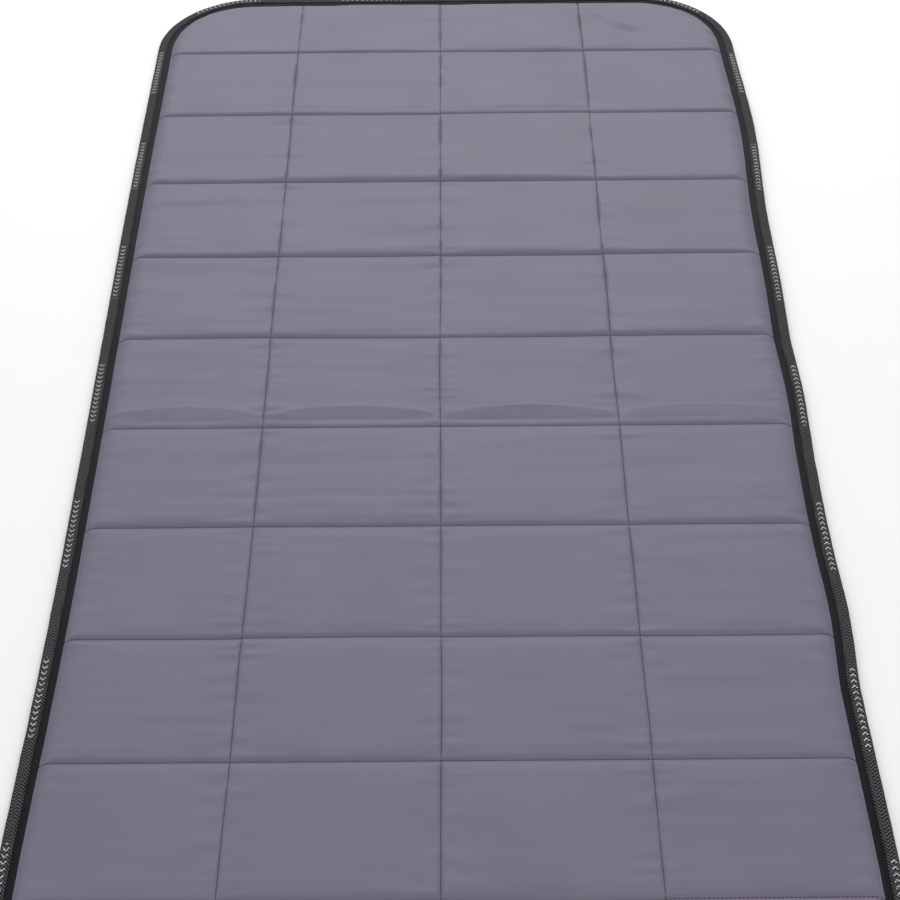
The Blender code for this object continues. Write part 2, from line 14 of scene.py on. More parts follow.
import bmesh
import bpy
from mathutils import Matrix, Vector, noise


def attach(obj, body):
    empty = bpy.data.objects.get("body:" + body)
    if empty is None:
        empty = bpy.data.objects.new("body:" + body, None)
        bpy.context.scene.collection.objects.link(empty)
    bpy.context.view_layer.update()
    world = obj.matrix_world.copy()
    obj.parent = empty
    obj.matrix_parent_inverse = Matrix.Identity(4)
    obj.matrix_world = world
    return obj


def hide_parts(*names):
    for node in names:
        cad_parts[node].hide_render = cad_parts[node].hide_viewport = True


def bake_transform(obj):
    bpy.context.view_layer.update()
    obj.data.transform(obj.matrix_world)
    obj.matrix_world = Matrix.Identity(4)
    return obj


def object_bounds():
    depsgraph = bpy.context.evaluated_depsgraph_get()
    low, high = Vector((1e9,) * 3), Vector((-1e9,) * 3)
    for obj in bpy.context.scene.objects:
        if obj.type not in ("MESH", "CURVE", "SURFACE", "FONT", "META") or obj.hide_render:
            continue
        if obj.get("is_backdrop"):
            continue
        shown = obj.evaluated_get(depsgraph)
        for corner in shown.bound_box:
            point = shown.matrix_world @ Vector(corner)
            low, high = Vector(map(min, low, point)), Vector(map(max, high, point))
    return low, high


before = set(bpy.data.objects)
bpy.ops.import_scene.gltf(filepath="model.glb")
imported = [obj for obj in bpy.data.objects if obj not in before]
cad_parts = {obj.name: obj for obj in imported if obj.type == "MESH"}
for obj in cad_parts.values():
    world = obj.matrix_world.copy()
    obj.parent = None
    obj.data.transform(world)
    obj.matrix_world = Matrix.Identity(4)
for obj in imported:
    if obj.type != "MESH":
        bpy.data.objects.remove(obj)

MM = 0.001
log = logging.getLogger("blanket")

Height = Callable[[float, float], float]


def clamp(value: float, low: float = 0.0, high: float = 1.0) -> float:
    """Returns the value, held between low and high."""
    return max(low, min(high, value))


def smooth(value: float) -> float:
    """Returns a soft step: 0 at or below 0, 1 at or above 1."""
    t = clamp(value)
    return t * t * (3 - 2 * t)


def bell(value: float) -> float:
    """Returns a soft bump: 1 at 0, fading to nothing beyond 2."""
    return math.exp(-value * value)


def grain(x: float, y: float, layer: float) -> float:
    """Returns smooth repeatable noise of about -1 to 1; layer picks one of many patterns."""
    return noise.noise(Vector((x, y, layer * 17.31)))


def graded(low: float, high: float, count: int, crowd: float) -> list[float]:
    """Places grid lines between two seams, closer together near the seams.

    Args:
        low: The first seam, which isn't in the result.
        high: The second seam, which is.
        count: How many lines to place.
        crowd: 0 for even spacing, towards 1 for lines crowded at the seams.

    Returns:
        The lines' positions, rising.
    """
    steps = [(i + 1) / count for i in range(count)]
    return [low + (high - low) * (u - crowd * math.sin(math.tau * u) / math.tau) for u in steps]


@dataclass(frozen=True)
class Bulge:
    """A soft bulge of a long edge, outwards where amount is above zero."""

    y: float
    reach: float
    amount: float

    def at(self, y: float) -> float:
        """Returns how far the edge is moved at y."""
        return self.amount * bell((y - self.y) / self.reach)


@dataclass(frozen=True)
class Span:
    """A stretch of the mat that crosses one fold."""

    name: str
    low: float
    high: float
    fold: float
    body_before: str
    body_after: str
    node_names: tuple[str, ...]

    @property
    def sections(self) -> tuple[str, str]:
        """The names of the two sections that the span joins."""
        return self.body_before.removesuffix("_section"), self.body_after.removesuffix("_section")

    def blend(self, piece: bpy.types.Object, reach: float = 7 * MM) -> None:
        """Bakes a piece's placement into its mesh; nothing here bends it at the fold.

        Args:
            piece: A finished piece that rides on nothing yet.
            reach: Not used.
        """
        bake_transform(piece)


@dataclass(frozen=True)
class Mat:
    """The mat's plan and the levels of its layers."""

    half_width: float
    half_length: float
    corner_radius: float = 130 * MM
    end_fold: float = 450.8 * MM
    rows_per_section: int = 3
    column_seams: tuple[float, ...] = (-203.5 * MM, -6.5 * MM, 190.5 * MM)
    binding_width: float = 12 * MM
    border: float = 19.5 * MM
    valley_z: float = 11.2 * MM
    column_z: float = 12.6 * MM
    crown_z: float = 15.0 * MM
    border_z: float = 6.3 * MM
    rim_dip: float = 1.6 * MM
    binding_z: float = 8.2 * MM
    head_flank: float = 5.6 * MM
    foot_flank: float = 7.0 * MM
    column_flank: float = 2.8 * MM
    edge_flank: float = 15 * MM
    notch_flank: float = 12 * MM
    floor_relief: float = 1.4 * MM
    floor_gap: float = 0.05 * MM
    channel_half_width: float = 12 * MM
    lift_height: float = 1.2 * MM
    lift_reach: float = 3.4 * MM
    notch: tuple[float, float, float] = (54.7 * MM, 125.3 * MM, -861.7 * MM)
    notch_z: float = 10.0 * MM
    left_bulges: tuple[Bulge, ...] = (Bulge(0.45, 0.36, 2.8 * MM), Bulge(-0.60, 0.20, -5.5 * MM))
    right_bulges: tuple[Bulge, ...] = (
        Bulge(0.57, 0.15, 8.5 * MM), Bulge(0.27, 0.09, 2.2 * MM), Bulge(0.05, 0.07, -2.8 * MM),
        Bulge(-0.27, 0.07, 3.8 * MM), Bulge(-0.60, 0.16, -4.2 * MM))

    def section_seams(self, low: float, high: float) -> list[float]:
        """Returns the row seams inside and at the upper end of a section."""
        pitch = (high - low) / self.rows_per_section
        return [low + pitch * (i + 1) for i in range(self.rows_per_section)]

    @cached_property
    def row_seams(self) -> tuple[float, ...]:
        """The row seams, from the foot end to the head end."""
        near, far = self.section_seams(0.0, self.end_fold), self.section_seams(self.end_fold, self.half_length)
        upper = near + far[:-1]
        return (*(-y for y in reversed(upper)), 0.0, *upper)

    def spans(self) -> tuple[Span, Span, Span]:
        """Returns the foot, middle and head spans."""
        cut = self.section_seams(0.0, self.end_fold)[1]
        return (
            Span("foot", -self.half_length, -cut, -self.end_fold, "foot_section", "lower_section", ("foot",)),
            Span("middle", -cut, cut, 0.0, "lower_section", "upper_section", ("lower", "upper")),
            Span("head", cut, self.half_length, self.end_fold, "upper_section", "head_section", ("head",)),
        )

    def inset(self, x: float, y: float) -> float:
        """Returns how far a point lies inside the outline."""
        qx = abs(x) - self.half_width + self.corner_radius
        qy = abs(y) - self.half_length + self.corner_radius
        return self.corner_radius - math.hypot(max(qx, 0.0), max(qy, 0.0)) - min(max(qx, qy), 0.0)

    def seam_distances(self, x: float, y: float) -> tuple[float, float]:
        """Returns the distances to the nearest row seam and to the nearest column seam."""
        return min(abs(y - s) for s in self.row_seams), min(abs(x - s) for s in self.column_seams)

    def notch_distance(self, x: float, y: float) -> float:
        """Returns how far a point lies outside the inlet's room."""
        left, right, top = self.notch
        return math.hypot(max(left - x, x - right, 0.0), max(y - top, 0.0))

    def surface(self, x: float, y: float) -> float:
        """Returns the height of the quilted top, before any wrinkle."""
        row, column = self.seam_distances(x, y)
        past_seam = any(0 <= y - s <= row + 1e-6 for s in self.row_seams)
        flank = self.head_flank if past_seam else self.foot_flank
        rim = swell((self.inset(x, y) - self.border - 0.4 * MM) / self.edge_flank, 1.7)
        edge = self.border_z + (self.crown_z - self.border_z) * rim
        sunk = min(edge, max(edge - self.rim_dip, self.border_z + 0.6 * MM))
        valley, groove = min(self.valley_z, sunk), min(self.column_z, sunk)
        from_notch = self.notch_distance(x, y) / self.notch_flank
        heights = [
            valley + (self.crown_z - valley) * swell(row / flank, 1.3),
            groove + (self.crown_z - groove) * swell(column / self.column_flank, 2.0),
            edge,
            self.notch_z + (self.crown_z - self.notch_z) * swell(from_notch, 2.0),
        ]
        return soft_minimum(heights, 0.5 * MM)

    def lift(self, x: float, y: float) -> float:
        """Returns how far the lower layers rise at the edge to clear the binding."""
        past_binding = self.inset(x, y) - self.binding_width - 0.3 * MM
        return self.lift_height * (1 - smooth(past_binding / self.lift_reach))

    def underside(self, x: float, y: float) -> float:
        """Returns the height of the mat's underside, which the quilting draws up at its seams."""
        row, column = self.seam_distances(x, y)
        drawn = self.floor_relief * (1 - swell(min(row, column) / self.channel_half_width, 2.4))
        inside = smooth((self.inset(x, y) - 14 * MM) / (6 * MM))
        return self.floor_gap + max(drawn * inside, self.lift(x, y))

    def pad_lines(self, low: float, high: float, inset: float, count: int,
                  crowd: float) -> tuple[list[float], list[float]]:
        """Returns grid lines for a layer, with a line on every seam.

        Args:
            low: Its foot end.
            high: Its head end.
            inset: How far inside the outline it ends.
            count: Lines in each pad, both ways.
            crowd: How much the lines crowd at the seams.

        Returns:
            The lines across and the lines along.
        """
        wide, tall = self.half_width - inset, self.half_length - inset
        low, high = max(low, -tall), min(high, tall)
        columns = (-wide, *self.column_seams, wide)
        rows = (low, *(y for y in self.row_seams if low + MM < y < high - MM), high)
        across, along = ([stops[0]] + [line for a, b in zip(stops, stops[1:])
                                       for line in graded(a, b, count, crowd)]
                         for stops in (columns, rows))
        return across, along

    def cut_size(self, low: float, high: float, inset: float) -> tuple[tuple[float, float], float]:
        """Returns the size that a layer is cut to before it is sewn in.

        Args:
            low: Its foot end.
            high: Its head end.
            inset: How far inside the outline it ends.

        Returns:
            Its width and length, and its area without the round corners and the inlet's room.
        """
        end, radius = self.half_length - inset, self.corner_radius - inset
        width, length = 2 * (self.half_width - inset), min(high, end) - max(low, -end)
        corners = 2 * (int(high > end) + int(low < -end))
        left, right, top = self.notch
        room = (right - left) * (top + end) if low < -end else 0.0
        return (width, length), width * length - corners * (1 - math.pi / 4) * radius ** 2 - room

    def warped(self, x: float, y: float) -> tuple[float, float]:
        """Returns where a point of the flat plan lies on the real, slightly uneven mat."""
        side = self.right_bulges if x > 0 else self.left_bulges
        push = sum(b.at(y) for b in side) * smooth((abs(x) - 0.12) / 0.26)
        push *= smooth((self.half_length - abs(y)) / 0.08)
        sway = 1.6 * MM * grain(0.0, y / 0.16, 2.0 + round(x / 0.19)) * smooth((0.37 - abs(x)) / 0.05)
        fold_gap = min(abs(y - f) for f in (-self.end_fold, 0.0, self.end_fold))
        drift = 1.8 * MM * grain(x / 0.22, y / 0.10, 9.0) + self.jog(x, y)
        drift *= smooth((fold_gap - 20 * MM) / (60 * MM))
        drift *= smooth((self.half_length - abs(y)) / 0.15)
        return x + math.copysign(push, x) + sway, y + drift

    def jog(self, x: float, y: float) -> float:
        """Returns how far each column of pads sits off its neighbours along the mat."""
        stops = (-self.half_width, *self.column_seams, self.half_width)
        shift = 0.0
        for number, (left, right) in enumerate(zip(stops, stops[1:])):
            share = smooth((x - left) / (5 * MM) + 0.5) - smooth((x - right) / (5 * MM) + 0.5)
            bow = math.sin(math.pi * clamp((x - left) / (right - left)))
            offset, bend = grain(y / 0.11, number * 2.7, 21.0), grain(y / 0.13, number, 22.0)
            shift += share * MM * (2.2 * offset + 1.3 * bow * bend)
        return shift

    def warp(self, bm: bmesh.types.BMesh) -> None:
        """Moves every vertex of a mesh from the flat plan to its place on the real mat."""
        for vertex in bm.verts:
            vertex.co.x, vertex.co.y = self.warped(vertex.co.x, vertex.co.y)


def swell(t: float, power: float) -> float:
    """Returns the height of a flank, 0 at its seam and 1 at its crown, steep at the seam."""
    return 1 - (1 - clamp(t)) ** power


def soft_minimum(values: Sequence[float], softness: float) -> float:
    """Returns the least value, rounded off where two values meet."""
    least = min(values)
    return least - softness * math.log(sum(math.exp((least - v) / softness) for v in values))


# Meshes


def flat_grid(xs: Sequence[float], ys: Sequence[float],
              place: Callable[[int, int], Vector] | None = None) -> bmesh.types.BMesh:
    """Makes a flat grid with its lines at given places, and a UV map in metres.

    Args:
        xs: The lines across, rising.
        ys: The lines along, rising.
        place: Where the point at a column and a row goes once the UV map is made, or None to leave it flat.

    Returns:
        The grid.
    """
    bm = bmesh.new()
    across, along = len(xs) - 1, len(ys) - 1
    bmesh.ops.create_grid(bm, x_segments=across, y_segments=along, size=1.0)
    spots = [(round((v.co.x + 1) / 2 * across), round((v.co.y + 1) / 2 * along)) for v in bm.verts]
    for vertex, (column, row) in zip(bm.verts, spots):
        vertex.co = (xs[column], ys[row], 0.0)
    uv = bm.loops.layers.uv.new("flat")
    for face in bm.faces:
        for loop in face.loops:
            loop[uv].uv = loop.vert.co.xy
    if place:
        for vertex, (column, row) in zip(bm.verts, spots):
            vertex.co = place(column, row)
    return bm


def raise_to(bm: bmesh.types.BMesh, height: Height) -> None:
    """Sets every vertex to a height that depends on its place in plan."""
    for vertex in bm.verts:
        vertex.co.z = height(vertex.co.x, vertex.co.y)


def trim_corners(bm: bmesh.types.BMesh, mat: Mat, inset: float, steps: int = 12) -> None:
    """Cuts a sheet to the mat's rounded corners.

    Args:
        bm: The sheet, flat or quilted, in plan coordinates.
        mat: The mat.
        inset: How far inside the outline the cut runs.
        steps: Facets in each corner.
    """
    radius = mat.corner_radius - inset
    half_step = math.pi / 4 / steps
    reach = mat.corner_radius + 12 * MM
    centres = {face: face.calc_center_median() for face in bm.faces}
    for side, end in ((-1, -1), (-1, 1), (1, -1), (1, 1)):
        centre = Vector((side * (mat.half_width - mat.corner_radius),
                         end * (mat.half_length - mat.corner_radius), 0))
        near = [face for face, middle in centres.items()
                if side * middle.x > mat.half_width - reach and end * middle.y > mat.half_length - reach]
        for step in range(steps if near else 0):
            angle = (2 * step + 1) * half_step
            out = Vector((side * math.cos(angle), end * math.sin(angle), 0))
            edges = {e for f in near for e in f.edges}
            verts = {v for f in near for v in f.verts}
            cut = bmesh.ops.bisect_plane(bm, geom=[*verts, *edges, *near], dist=1e-6, clear_outer=True,
                                         plane_co=centre + out * radius * math.cos(half_step), plane_no=out)
            near = [g for g in cut["geom"] if g.is_valid and isinstance(g, bmesh.types.BMFace)]


def cut_notch(bm: bmesh.types.BMesh, mat: Mat) -> None:
    """Takes the inlet's room out of a sheet."""
    left, right, top = mat.notch
    near = [f for f in bm.faces if left - 0.03 < f.calc_center_median().x < right + 0.03
            and f.calc_center_median().y < top + 0.03]
    for point, normal in (((left, 0, 0), (1, 0, 0)), ((right, 0, 0), (1, 0, 0)), ((0, top, 0), (0, 1, 0))):
        edges = {e for f in near for e in f.edges}
        verts = {v for f in near for v in f.verts}
        cut = bmesh.ops.bisect_plane(bm, geom=[*verts, *edges, *near], dist=1e-6,
                                     plane_co=point, plane_no=normal)
        near = [g for g in cut["geom"] if isinstance(g, bmesh.types.BMFace)]
    gone = [f for f in near if left < f.calc_center_median().x < right and f.calc_center_median().y < top]
    bmesh.ops.delete(bm, geom=gone, context="FACES")


def absorb(bm: bmesh.types.BMesh, loose: bmesh.types.BMesh) -> None:
    """Adds a mesh to another and frees it."""
    spare = bpy.data.meshes.new("spare")
    loose.to_mesh(spare)
    loose.free()
    bm.from_mesh(spare)
    bpy.data.meshes.remove(spare)


def drop_outside(bm: bmesh.types.BMesh, low: float, high: float) -> None:
    """Deletes the faces of a sheet that lie before low or after high, along the mat."""
    gone = [f for f in bm.faces if not low < f.calc_center_median().y < high]
    bmesh.ops.delete(bm, geom=gone, context="FACES")


def to_object(bm: bmesh.types.BMesh, name: str, material: bpy.types.Material,
              soft: bool = True) -> bpy.types.Object:
    """Turns a bmesh into an object.

    Args:
        bm: The mesh, which is freed.
        name: The object's name.
        material: Its finish.
        soft: Whether its faces are shaded smooth.

    Returns:
        The new object.
    """
    for face in bm.faces:
        face.smooth = soft
    mesh = bpy.data.meshes.new(name)
    bm.to_mesh(mesh)
    bm.free()
    mesh.materials.append(material)
    piece = bpy.data.objects.new(name, mesh)
    bpy.context.scene.collection.objects.link(piece)
    return piece


def settle(piece: bpy.types.Object) -> None:
    """Applies every modifier of a piece to its mesh."""
    depsgraph = bpy.context.evaluated_depsgraph_get()
    shaped = piece.evaluated_get(depsgraph)
    mesh = bpy.data.meshes.new_from_object(shaped, preserve_all_data_layers=True, depsgraph=depsgraph)
    piece.modifiers.clear()
    piece.data = mesh


def thicken(piece: bpy.types.Object, thickness: float) -> None:
    """Gives a sheet its thickness, downwards from its face, with crisp cut edges."""
    wall = piece.modifiers.new("thickness", "SOLIDIFY")
    wall.thickness = thickness
    wall.offset = -1.0
    settle(piece)
    bm = bmesh.new()
    bm.from_mesh(piece.data)
    sharpen(bm)
    bm.to_mesh(piece.data)
    bm.free()


def sharpen(bm: bmesh.types.BMesh, angle: float = math.radians(52)) -> None:
    """Marks the edges where two faces meet at more than an angle, so that shading doesn't run round them."""
    for edge in bm.edges:
        if edge.is_manifold and edge.calc_face_angle() > angle:
            edge.smooth = False


def slab(mat: Mat, name: str, material: bpy.types.Material, lines: tuple[list[float], list[float]],
         low: Height, high: Height, inset: float) -> bpy.types.Object:
    """Builds a closed layer between two heights.

    Args:
        mat: The mat.
        name: The piece's name.
        material: Its finish.
        lines: Grid lines across and along.
        low: The height of its lower face at a point in plan.
        high: The height of its upper face.
        inset: How far its outline lies inside the mat's.

    Returns:
        The piece, in its place on the real mat.
    """
    bm = flat_grid(*lines)
    trim_corners(bm, mat, inset)
    cut_notch(bm, mat)
    raise_to(bm, low)
    made = bmesh.ops.extrude_face_region(bm, geom=bm.faces[:])
    for vertex in (v for v in made["geom"] if isinstance(v, bmesh.types.BMVert)):
        vertex.co.z = high(vertex.co.x, vertex.co.y)
    mat.warp(bm)
    bmesh.ops.recalc_face_normals(bm, faces=bm.faces[:])
    if bm.calc_volume(signed=True) < 0:
        bmesh.ops.reverse_faces(bm, faces=bm.faces[:])
    bm.normal_update()
    sharpen(bm)
    return to_object(bm, name, material)


# Finishes


class Shader:
    """A Principled material, put together node by node."""

    def __init__(self, name: str, colour: tuple[float, float, float], roughness: float,
                 metallic: float = 0.0, **constants: float) -> None:
        """Makes the material.

        Args:
            name: The material's name.
            colour: Its linear base colour.
            roughness: Its roughness.
            metallic: Its metallic value.
            constants: Other sockets of the shader, with spaces written as underscores.
        """
        self.material = bpy.data.materials.new(name)
        self.material.use_nodes = True
        self.tree = self.material.node_tree
        self.surface = self.tree.nodes["Principled BSDF"]
        self.surface.inputs["Base Color"].default_value = (*colour, 1.0)
        self.surface.inputs["Roughness"].default_value = roughness
        self.surface.inputs["Metallic"].default_value = metallic
        for socket, value in constants.items():
            self.surface.inputs[socket.replace("_", " ")].default_value = value
        self.material.diffuse_color = (*colour, 1.0)

    def node(self, kind: str, sockets: dict[str, object] | None = None, **settings: object) -> bpy.types.Node:
        """Adds a node.

        Args:
            kind: The node's type, without its ShaderNode prefix.
            sockets: Input values or the output sockets to link to them.
            settings: The node's own settings.

        Returns:
            The node.
        """
        made = self.tree.nodes.new("ShaderNode" + kind)
        for key, value in settings.items():
            setattr(made, key, value)
        for key, value in (sockets or {}).items():
            self.feed(made.inputs[key], value)
        return made

    def feed(self, socket: bpy.types.NodeSocket, value: object) -> None:
        """Links an output to a socket, or sets the socket's value."""
        if isinstance(value, bpy.types.NodeSocket):
            self.tree.links.new(value, socket)
        else:
            socket.default_value = value

    def math(self, operation: str, *values: object) -> bpy.types.NodeSocket:
        """Adds a Math node and returns its output."""
        made = self.tree.nodes.new("ShaderNodeMath")
        made.operation = operation
        for socket, value in zip(made.inputs, values):
            self.feed(socket, value)
        return made.outputs[0]

    def noise(self, place: bpy.types.NodeSocket, scale: float, detail: float = 2.0,
              stretch: tuple[float, float, float] | None = None) -> bpy.types.NodeSocket:
        """Adds a noise texture and returns its value.

        Args:
            place: The coordinates it reads.
            scale: Features per metre.
            detail: Octaves.
            stretch: A scale for each axis first, or None.

        Returns:
            The noise value, 0 to 1.
        """
        if stretch:
            place = self.node("Mapping", {"Vector": place, "Scale": stretch}).outputs[0]
        return self.node("TexNoise", {"Vector": place, "Scale": scale, "Detail": detail}).outputs["Fac"]

    def ramp(self, value: bpy.types.NodeSocket, low: tuple[float, float, float],
             high: tuple[float, float, float], start: float = 0.0, end: float = 1.0) -> bpy.types.NodeSocket:
        """Adds a colour ramp from low to high and returns its colour."""
        made = self.node("ValToRGB", {"Fac": value})
        for stop, position, colour in zip(made.color_ramp.elements, (start, end), (low, high)):
            stop.position, stop.color = position, (*colour, 1)
        return made.outputs["Color"]

    def mix(self, share: object, first: object, second: object) -> bpy.types.NodeSocket:
        """Mixes two colours and returns the result."""
        made = self.node("Mix", data_type="RGBA")
        for index, value in ((0, share), (6, first), (7, second)):
            self.feed(made.inputs[index], value)
        return made.outputs[2]

    def bump(self, height: bpy.types.NodeSocket, distance: float, strength: float = 1.0) -> None:
        """Adds a bump of the given depth in metres to the surface."""
        made = self.node("Bump", {"Height": height, "Distance": distance, "Strength": strength})
        self.tree.links.new(made.outputs["Normal"], self.surface.inputs["Normal"])

    def colour(self, value: bpy.types.NodeSocket) -> None:
        """Links the base colour."""
        self.feed(self.surface.inputs["Base Color"], value)

    def roughness(self, value: bpy.types.NodeSocket, low: float, high: float) -> None:
        """Links the roughness, so that 0 to 1 gives low to high."""
        spread = self.node("MapRange", {"Value": value, "To Min": low, "To Max": high})
        self.feed(self.surface.inputs["Roughness"], spread.outputs[0])


def tint(colour: tuple[float, float, float], factor: float) -> tuple[float, float, float]:
    """Returns a colour made lighter or darker by a factor."""
    return tuple(min(1.0, c * factor) for c in colour)


@dataclass(frozen=True)
class CoatedFabric:
    """Smooth coated fabric with a fine woven grain and a soft sheen."""

    name: str
    colour: tuple[float, float, float]
    roughness: float = 0.5
    thread_pitch: float = 0.45 * MM
    variation: float = 0.05
    sheen: float = 0.08
    gloss: float = 0.30

    def make(self) -> bpy.types.Material:
        """Returns the material, which reads the piece's own flat UV map."""
        shader = Shader(self.name, self.colour, self.roughness, Sheen_Weight=self.sheen, Sheen_Roughness=0.45,
                        Specular_IOR_Level=self.gloss)
        place = shader.node("UVMap", uv_map="flat").outputs[0]
        axes = shader.node("SeparateXYZ", {"Vector": place})
        turn = math.tau / self.thread_pitch
        warp = shader.math("SINE", shader.math("MULTIPLY", axes.outputs["X"], turn))
        weft = shader.math("SINE", shader.math("MULTIPLY", axes.outputs["Y"], turn))
        weave = shader.math("MULTIPLY", warp, weft)
        cloudy = shader.noise(place, 9.0, 3.0)
        streaks = shader.noise(place, 60.0, 3.0, (0.14, 1.0, 1.0))
        specks = shader.noise(place, 900.0, 2.0)
        tone = shader.math("ADD", shader.math("MULTIPLY", cloudy, 0.5), shader.math("MULTIPLY", streaks, 0.3))
        tone = shader.math("ADD", tone, shader.math("MULTIPLY", specks, 0.2))
        shader.colour(shader.ramp(tone, tint(self.colour, 1 - self.variation),
                                  tint(self.colour, 1 + self.variation), 0.36, 0.64))
        shader.roughness(streaks, self.roughness - 0.06, self.roughness + 0.08)
        relief = shader.math("ADD", shader.math("MULTIPLY", weave, 0.35), shader.math("MULTIPLY", specks, 0.9))
        shader.bump(relief, 0.05 * MM, 0.6)
        return shader.material


@dataclass(frozen=True)
class HerringboneTape:
    """Woven edge tape: charcoal herringbone with light chevrons in groups along it."""

    name: str = "herringbone_tape"
    dark: tuple[float, float, float] = (0.004, 0.004, 0.007)
    light: tuple[float, float, float] = (0.105, 0.106, 0.105)
    mark: tuple[float, float, float] = (0.58, 0.58, 0.56)
    fleck: tuple[float, float, float] = (0.018, 0.020, 0.052)
    rib_pitch: float = 3.7 * MM
    zigzag_width: float = 9.0 * MM
    group_pitch: float = 216 * MM
    group_share: float = 0.46
    chevron_pitch: float = 7.0 * MM
    chevron_centre: float = 6.3 * MM
    chevron_reach: float = 2.7 * MM

    def make(self) -> bpy.types.Material:
        """Returns the material; its UV map has the way across the tape as X and the way along it as Y."""
        shader = Shader(self.name, self.dark, 0.85, Specular_IOR_Level=0.08)
        place = shader.node("UVMap", uv_map="flat").outputs[0]
        axes = shader.node("SeparateXYZ", {"Vector": place})
        across, along = axes.outputs["X"], axes.outputs["Y"]
        zigzag = shader.math("PINGPONG", across, self.zigzag_width / 2)
        phase = shader.math("DIVIDE", shader.math("ADD", along, zigzag), self.rib_pitch)
        rib = shader.math("PINGPONG", phase, 0.5)
        loose = shader.noise(place, 650.0, 3.0)
        rib_tone = shader.math("ADD", shader.math("MULTIPLY", rib, 1.3), shader.math("MULTIPLY", loose, 0.75))
        base = shader.ramp(rib_tone, self.dark, self.light, 0.50, 0.92)
        blue = shader.ramp(shader.noise(place, 420.0, 2.0), (0, 0, 0), (1, 1, 1), 0.62, 0.74)
        base = shader.mix(blue, base, (*self.fleck, 1))
        offset = shader.math("ABSOLUTE", shader.math("SUBTRACT", across, self.chevron_centre))
        inside = shader.math("LESS_THAN", offset, self.chevron_reach)
        slant = shader.math("ADD", along, shader.math("MULTIPLY", offset, 1.1))
        phase = shader.math("DIVIDE", slant, self.chevron_pitch)
        stroke = shader.math("LESS_THAN", shader.math("FRACT", phase), 0.24)
        place_in_group = shader.math("FRACT", shader.math("DIVIDE", along, self.group_pitch))
        group = shader.math("LESS_THAN", place_in_group, self.group_share)
        thread = shader.math("GREATER_THAN",
                             shader.math("ADD", rib, shader.math("MULTIPLY", loose, 0.3)), 0.24)
        marked = shader.math("MULTIPLY", shader.math("MULTIPLY", inside, stroke),
                             shader.math("MULTIPLY", group, thread))
        shader.colour(shader.mix(marked, base, (*self.mark, 1)))
        relief = shader.math("ADD", rib, shader.math("MULTIPLY", loose, 0.35))
        shader.bump(relief, 0.25 * MM, 0.9)
        return shader.material


@dataclass(frozen=True)
class PlainFinish:
    """A moulded, drawn, felted or cast finish with a light unevenness."""

    name: str
    colour: tuple[float, float, float]
    roughness: float
    metallic: float = 0.0
    grain_scale: float = 900.0
    grain_depth: float = 0.04 * MM
    variation: float = 0.08
    gloss: float = 0.5

    def make(self) -> bpy.types.Material:
        """Returns the material, which reads Object coordinates."""
        shader = Shader(self.name, self.colour, self.roughness, self.metallic, Specular_IOR_Level=self.gloss)
        place = shader.node("TexCoord").outputs["Object"]
        fine = shader.noise(place, self.grain_scale, 3.0)
        broad = shader.noise(place, self.grain_scale / 14, 2.0)
        shader.colour(shader.ramp(broad, tint(self.colour, 1 - self.variation),
                                  tint(self.colour, 1 + self.variation), 0.3, 0.7))
        shader.roughness(fine, max(0.05, self.roughness - 0.06), min(1.0, self.roughness + 0.06))
        shader.bump(fine, self.grain_depth, 0.5)
        return shader.material


GREY_FABRIC = CoatedFabric("grey_fabric", (0.168, 0.151, 0.211))
DARK_LINING = CoatedFabric("dark_lining", (0.030, 0.029, 0.034), 0.62, 0.8 * MM, 0.08, 0.05, 0.22)
BLACK_FACING = CoatedFabric("black_facing", (0.0080, 0.0070, 0.0115), 0.50, 0.35 * MM, 0.10, 0.0, 0.10)
TAPE = HerringboneTape()
# Quilting thread: its own dark colour, darkened further so that the stitches also carry painted shade of the
# groove that each seam sinks into.
THREAD_WITH_GROOVE_SHADE = PlainFinish("grey_thread", (0.030, 0.026, 0.040), 0.8, 0.0, 2500.0, 0.03 * MM)
BLACK_THREAD = PlainFinish("black_thread", (0.010, 0.010, 0.012), 0.8, 0.0, 2500.0, 0.03 * MM)
WHITE_WADDING = PlainFinish("white_wadding", (0.80, 0.80, 0.78), 0.95, 0.0, 500.0, 0.4 * MM)
CREAM_FELT = PlainFinish("cream_felt", (0.72, 0.68, 0.58), 0.95, 0.0, 700.0, 0.2 * MM)
GREY_FELT = PlainFinish("grey_felt", (0.45, 0.45, 0.44), 0.95, 0.0, 600.0, 0.3 * MM)
SILVER_FOIL = PlainFinish("silver_foil", (0.80, 0.81, 0.82), 0.25, 1.0, 120.0, 0.1 * MM, 0.03)
NODE_FINISHES = {
    "heating_cable": PlainFinish("red_silicone", (0.45, 0.05, 0.04), 0.5),
    "inlet_": PlainFinish("black_plastic", (0.016, 0.016, 0.018), 0.55, 0.0, 2200.0, 0.02 * MM, gloss=0.2),
    "inlet_screw": PlainFinish("zinc_steel", (0.55, 0.56, 0.58), 0.35, 1.0, 1500.0, 0.01 * MM),
    "pin_carrier": PlainFinish("cream_nylon", (0.70, 0.68, 0.62), 0.45),
    "contact_pin": PlainFinish("brass", (0.72, 0.53, 0.24), 0.28, 1.0, 1500.0, 0.01 * MM),
    "lead_live": PlainFinish("brown_silicone", (0.16, 0.07, 0.03), 0.5),
    "lead_neutral": PlainFinish("blue_silicone", (0.04, 0.09, 0.30), 0.5),
    "lead_sensor": PlainFinish("white_silicone", (0.75, 0.75, 0.75), 0.5),
    "splice_sleeve": PlainFinish("clear_sleeve", (0.62, 0.62, 0.58), 0.35),
    "thermal_cutout": PlainFinish("white_ceramic", (0.80, 0.79, 0.75), 0.4),
    "temperature_sensor": PlainFinish("sensor_brass", (0.72, 0.53, 0.24), 0.3, 1.0),
}


# Sub-assemblies


class Held(Enum):
    """How a layer of cloth is held."""

    SEWN_DOWN = "stretched"
    LAID_FLAT = "laid"


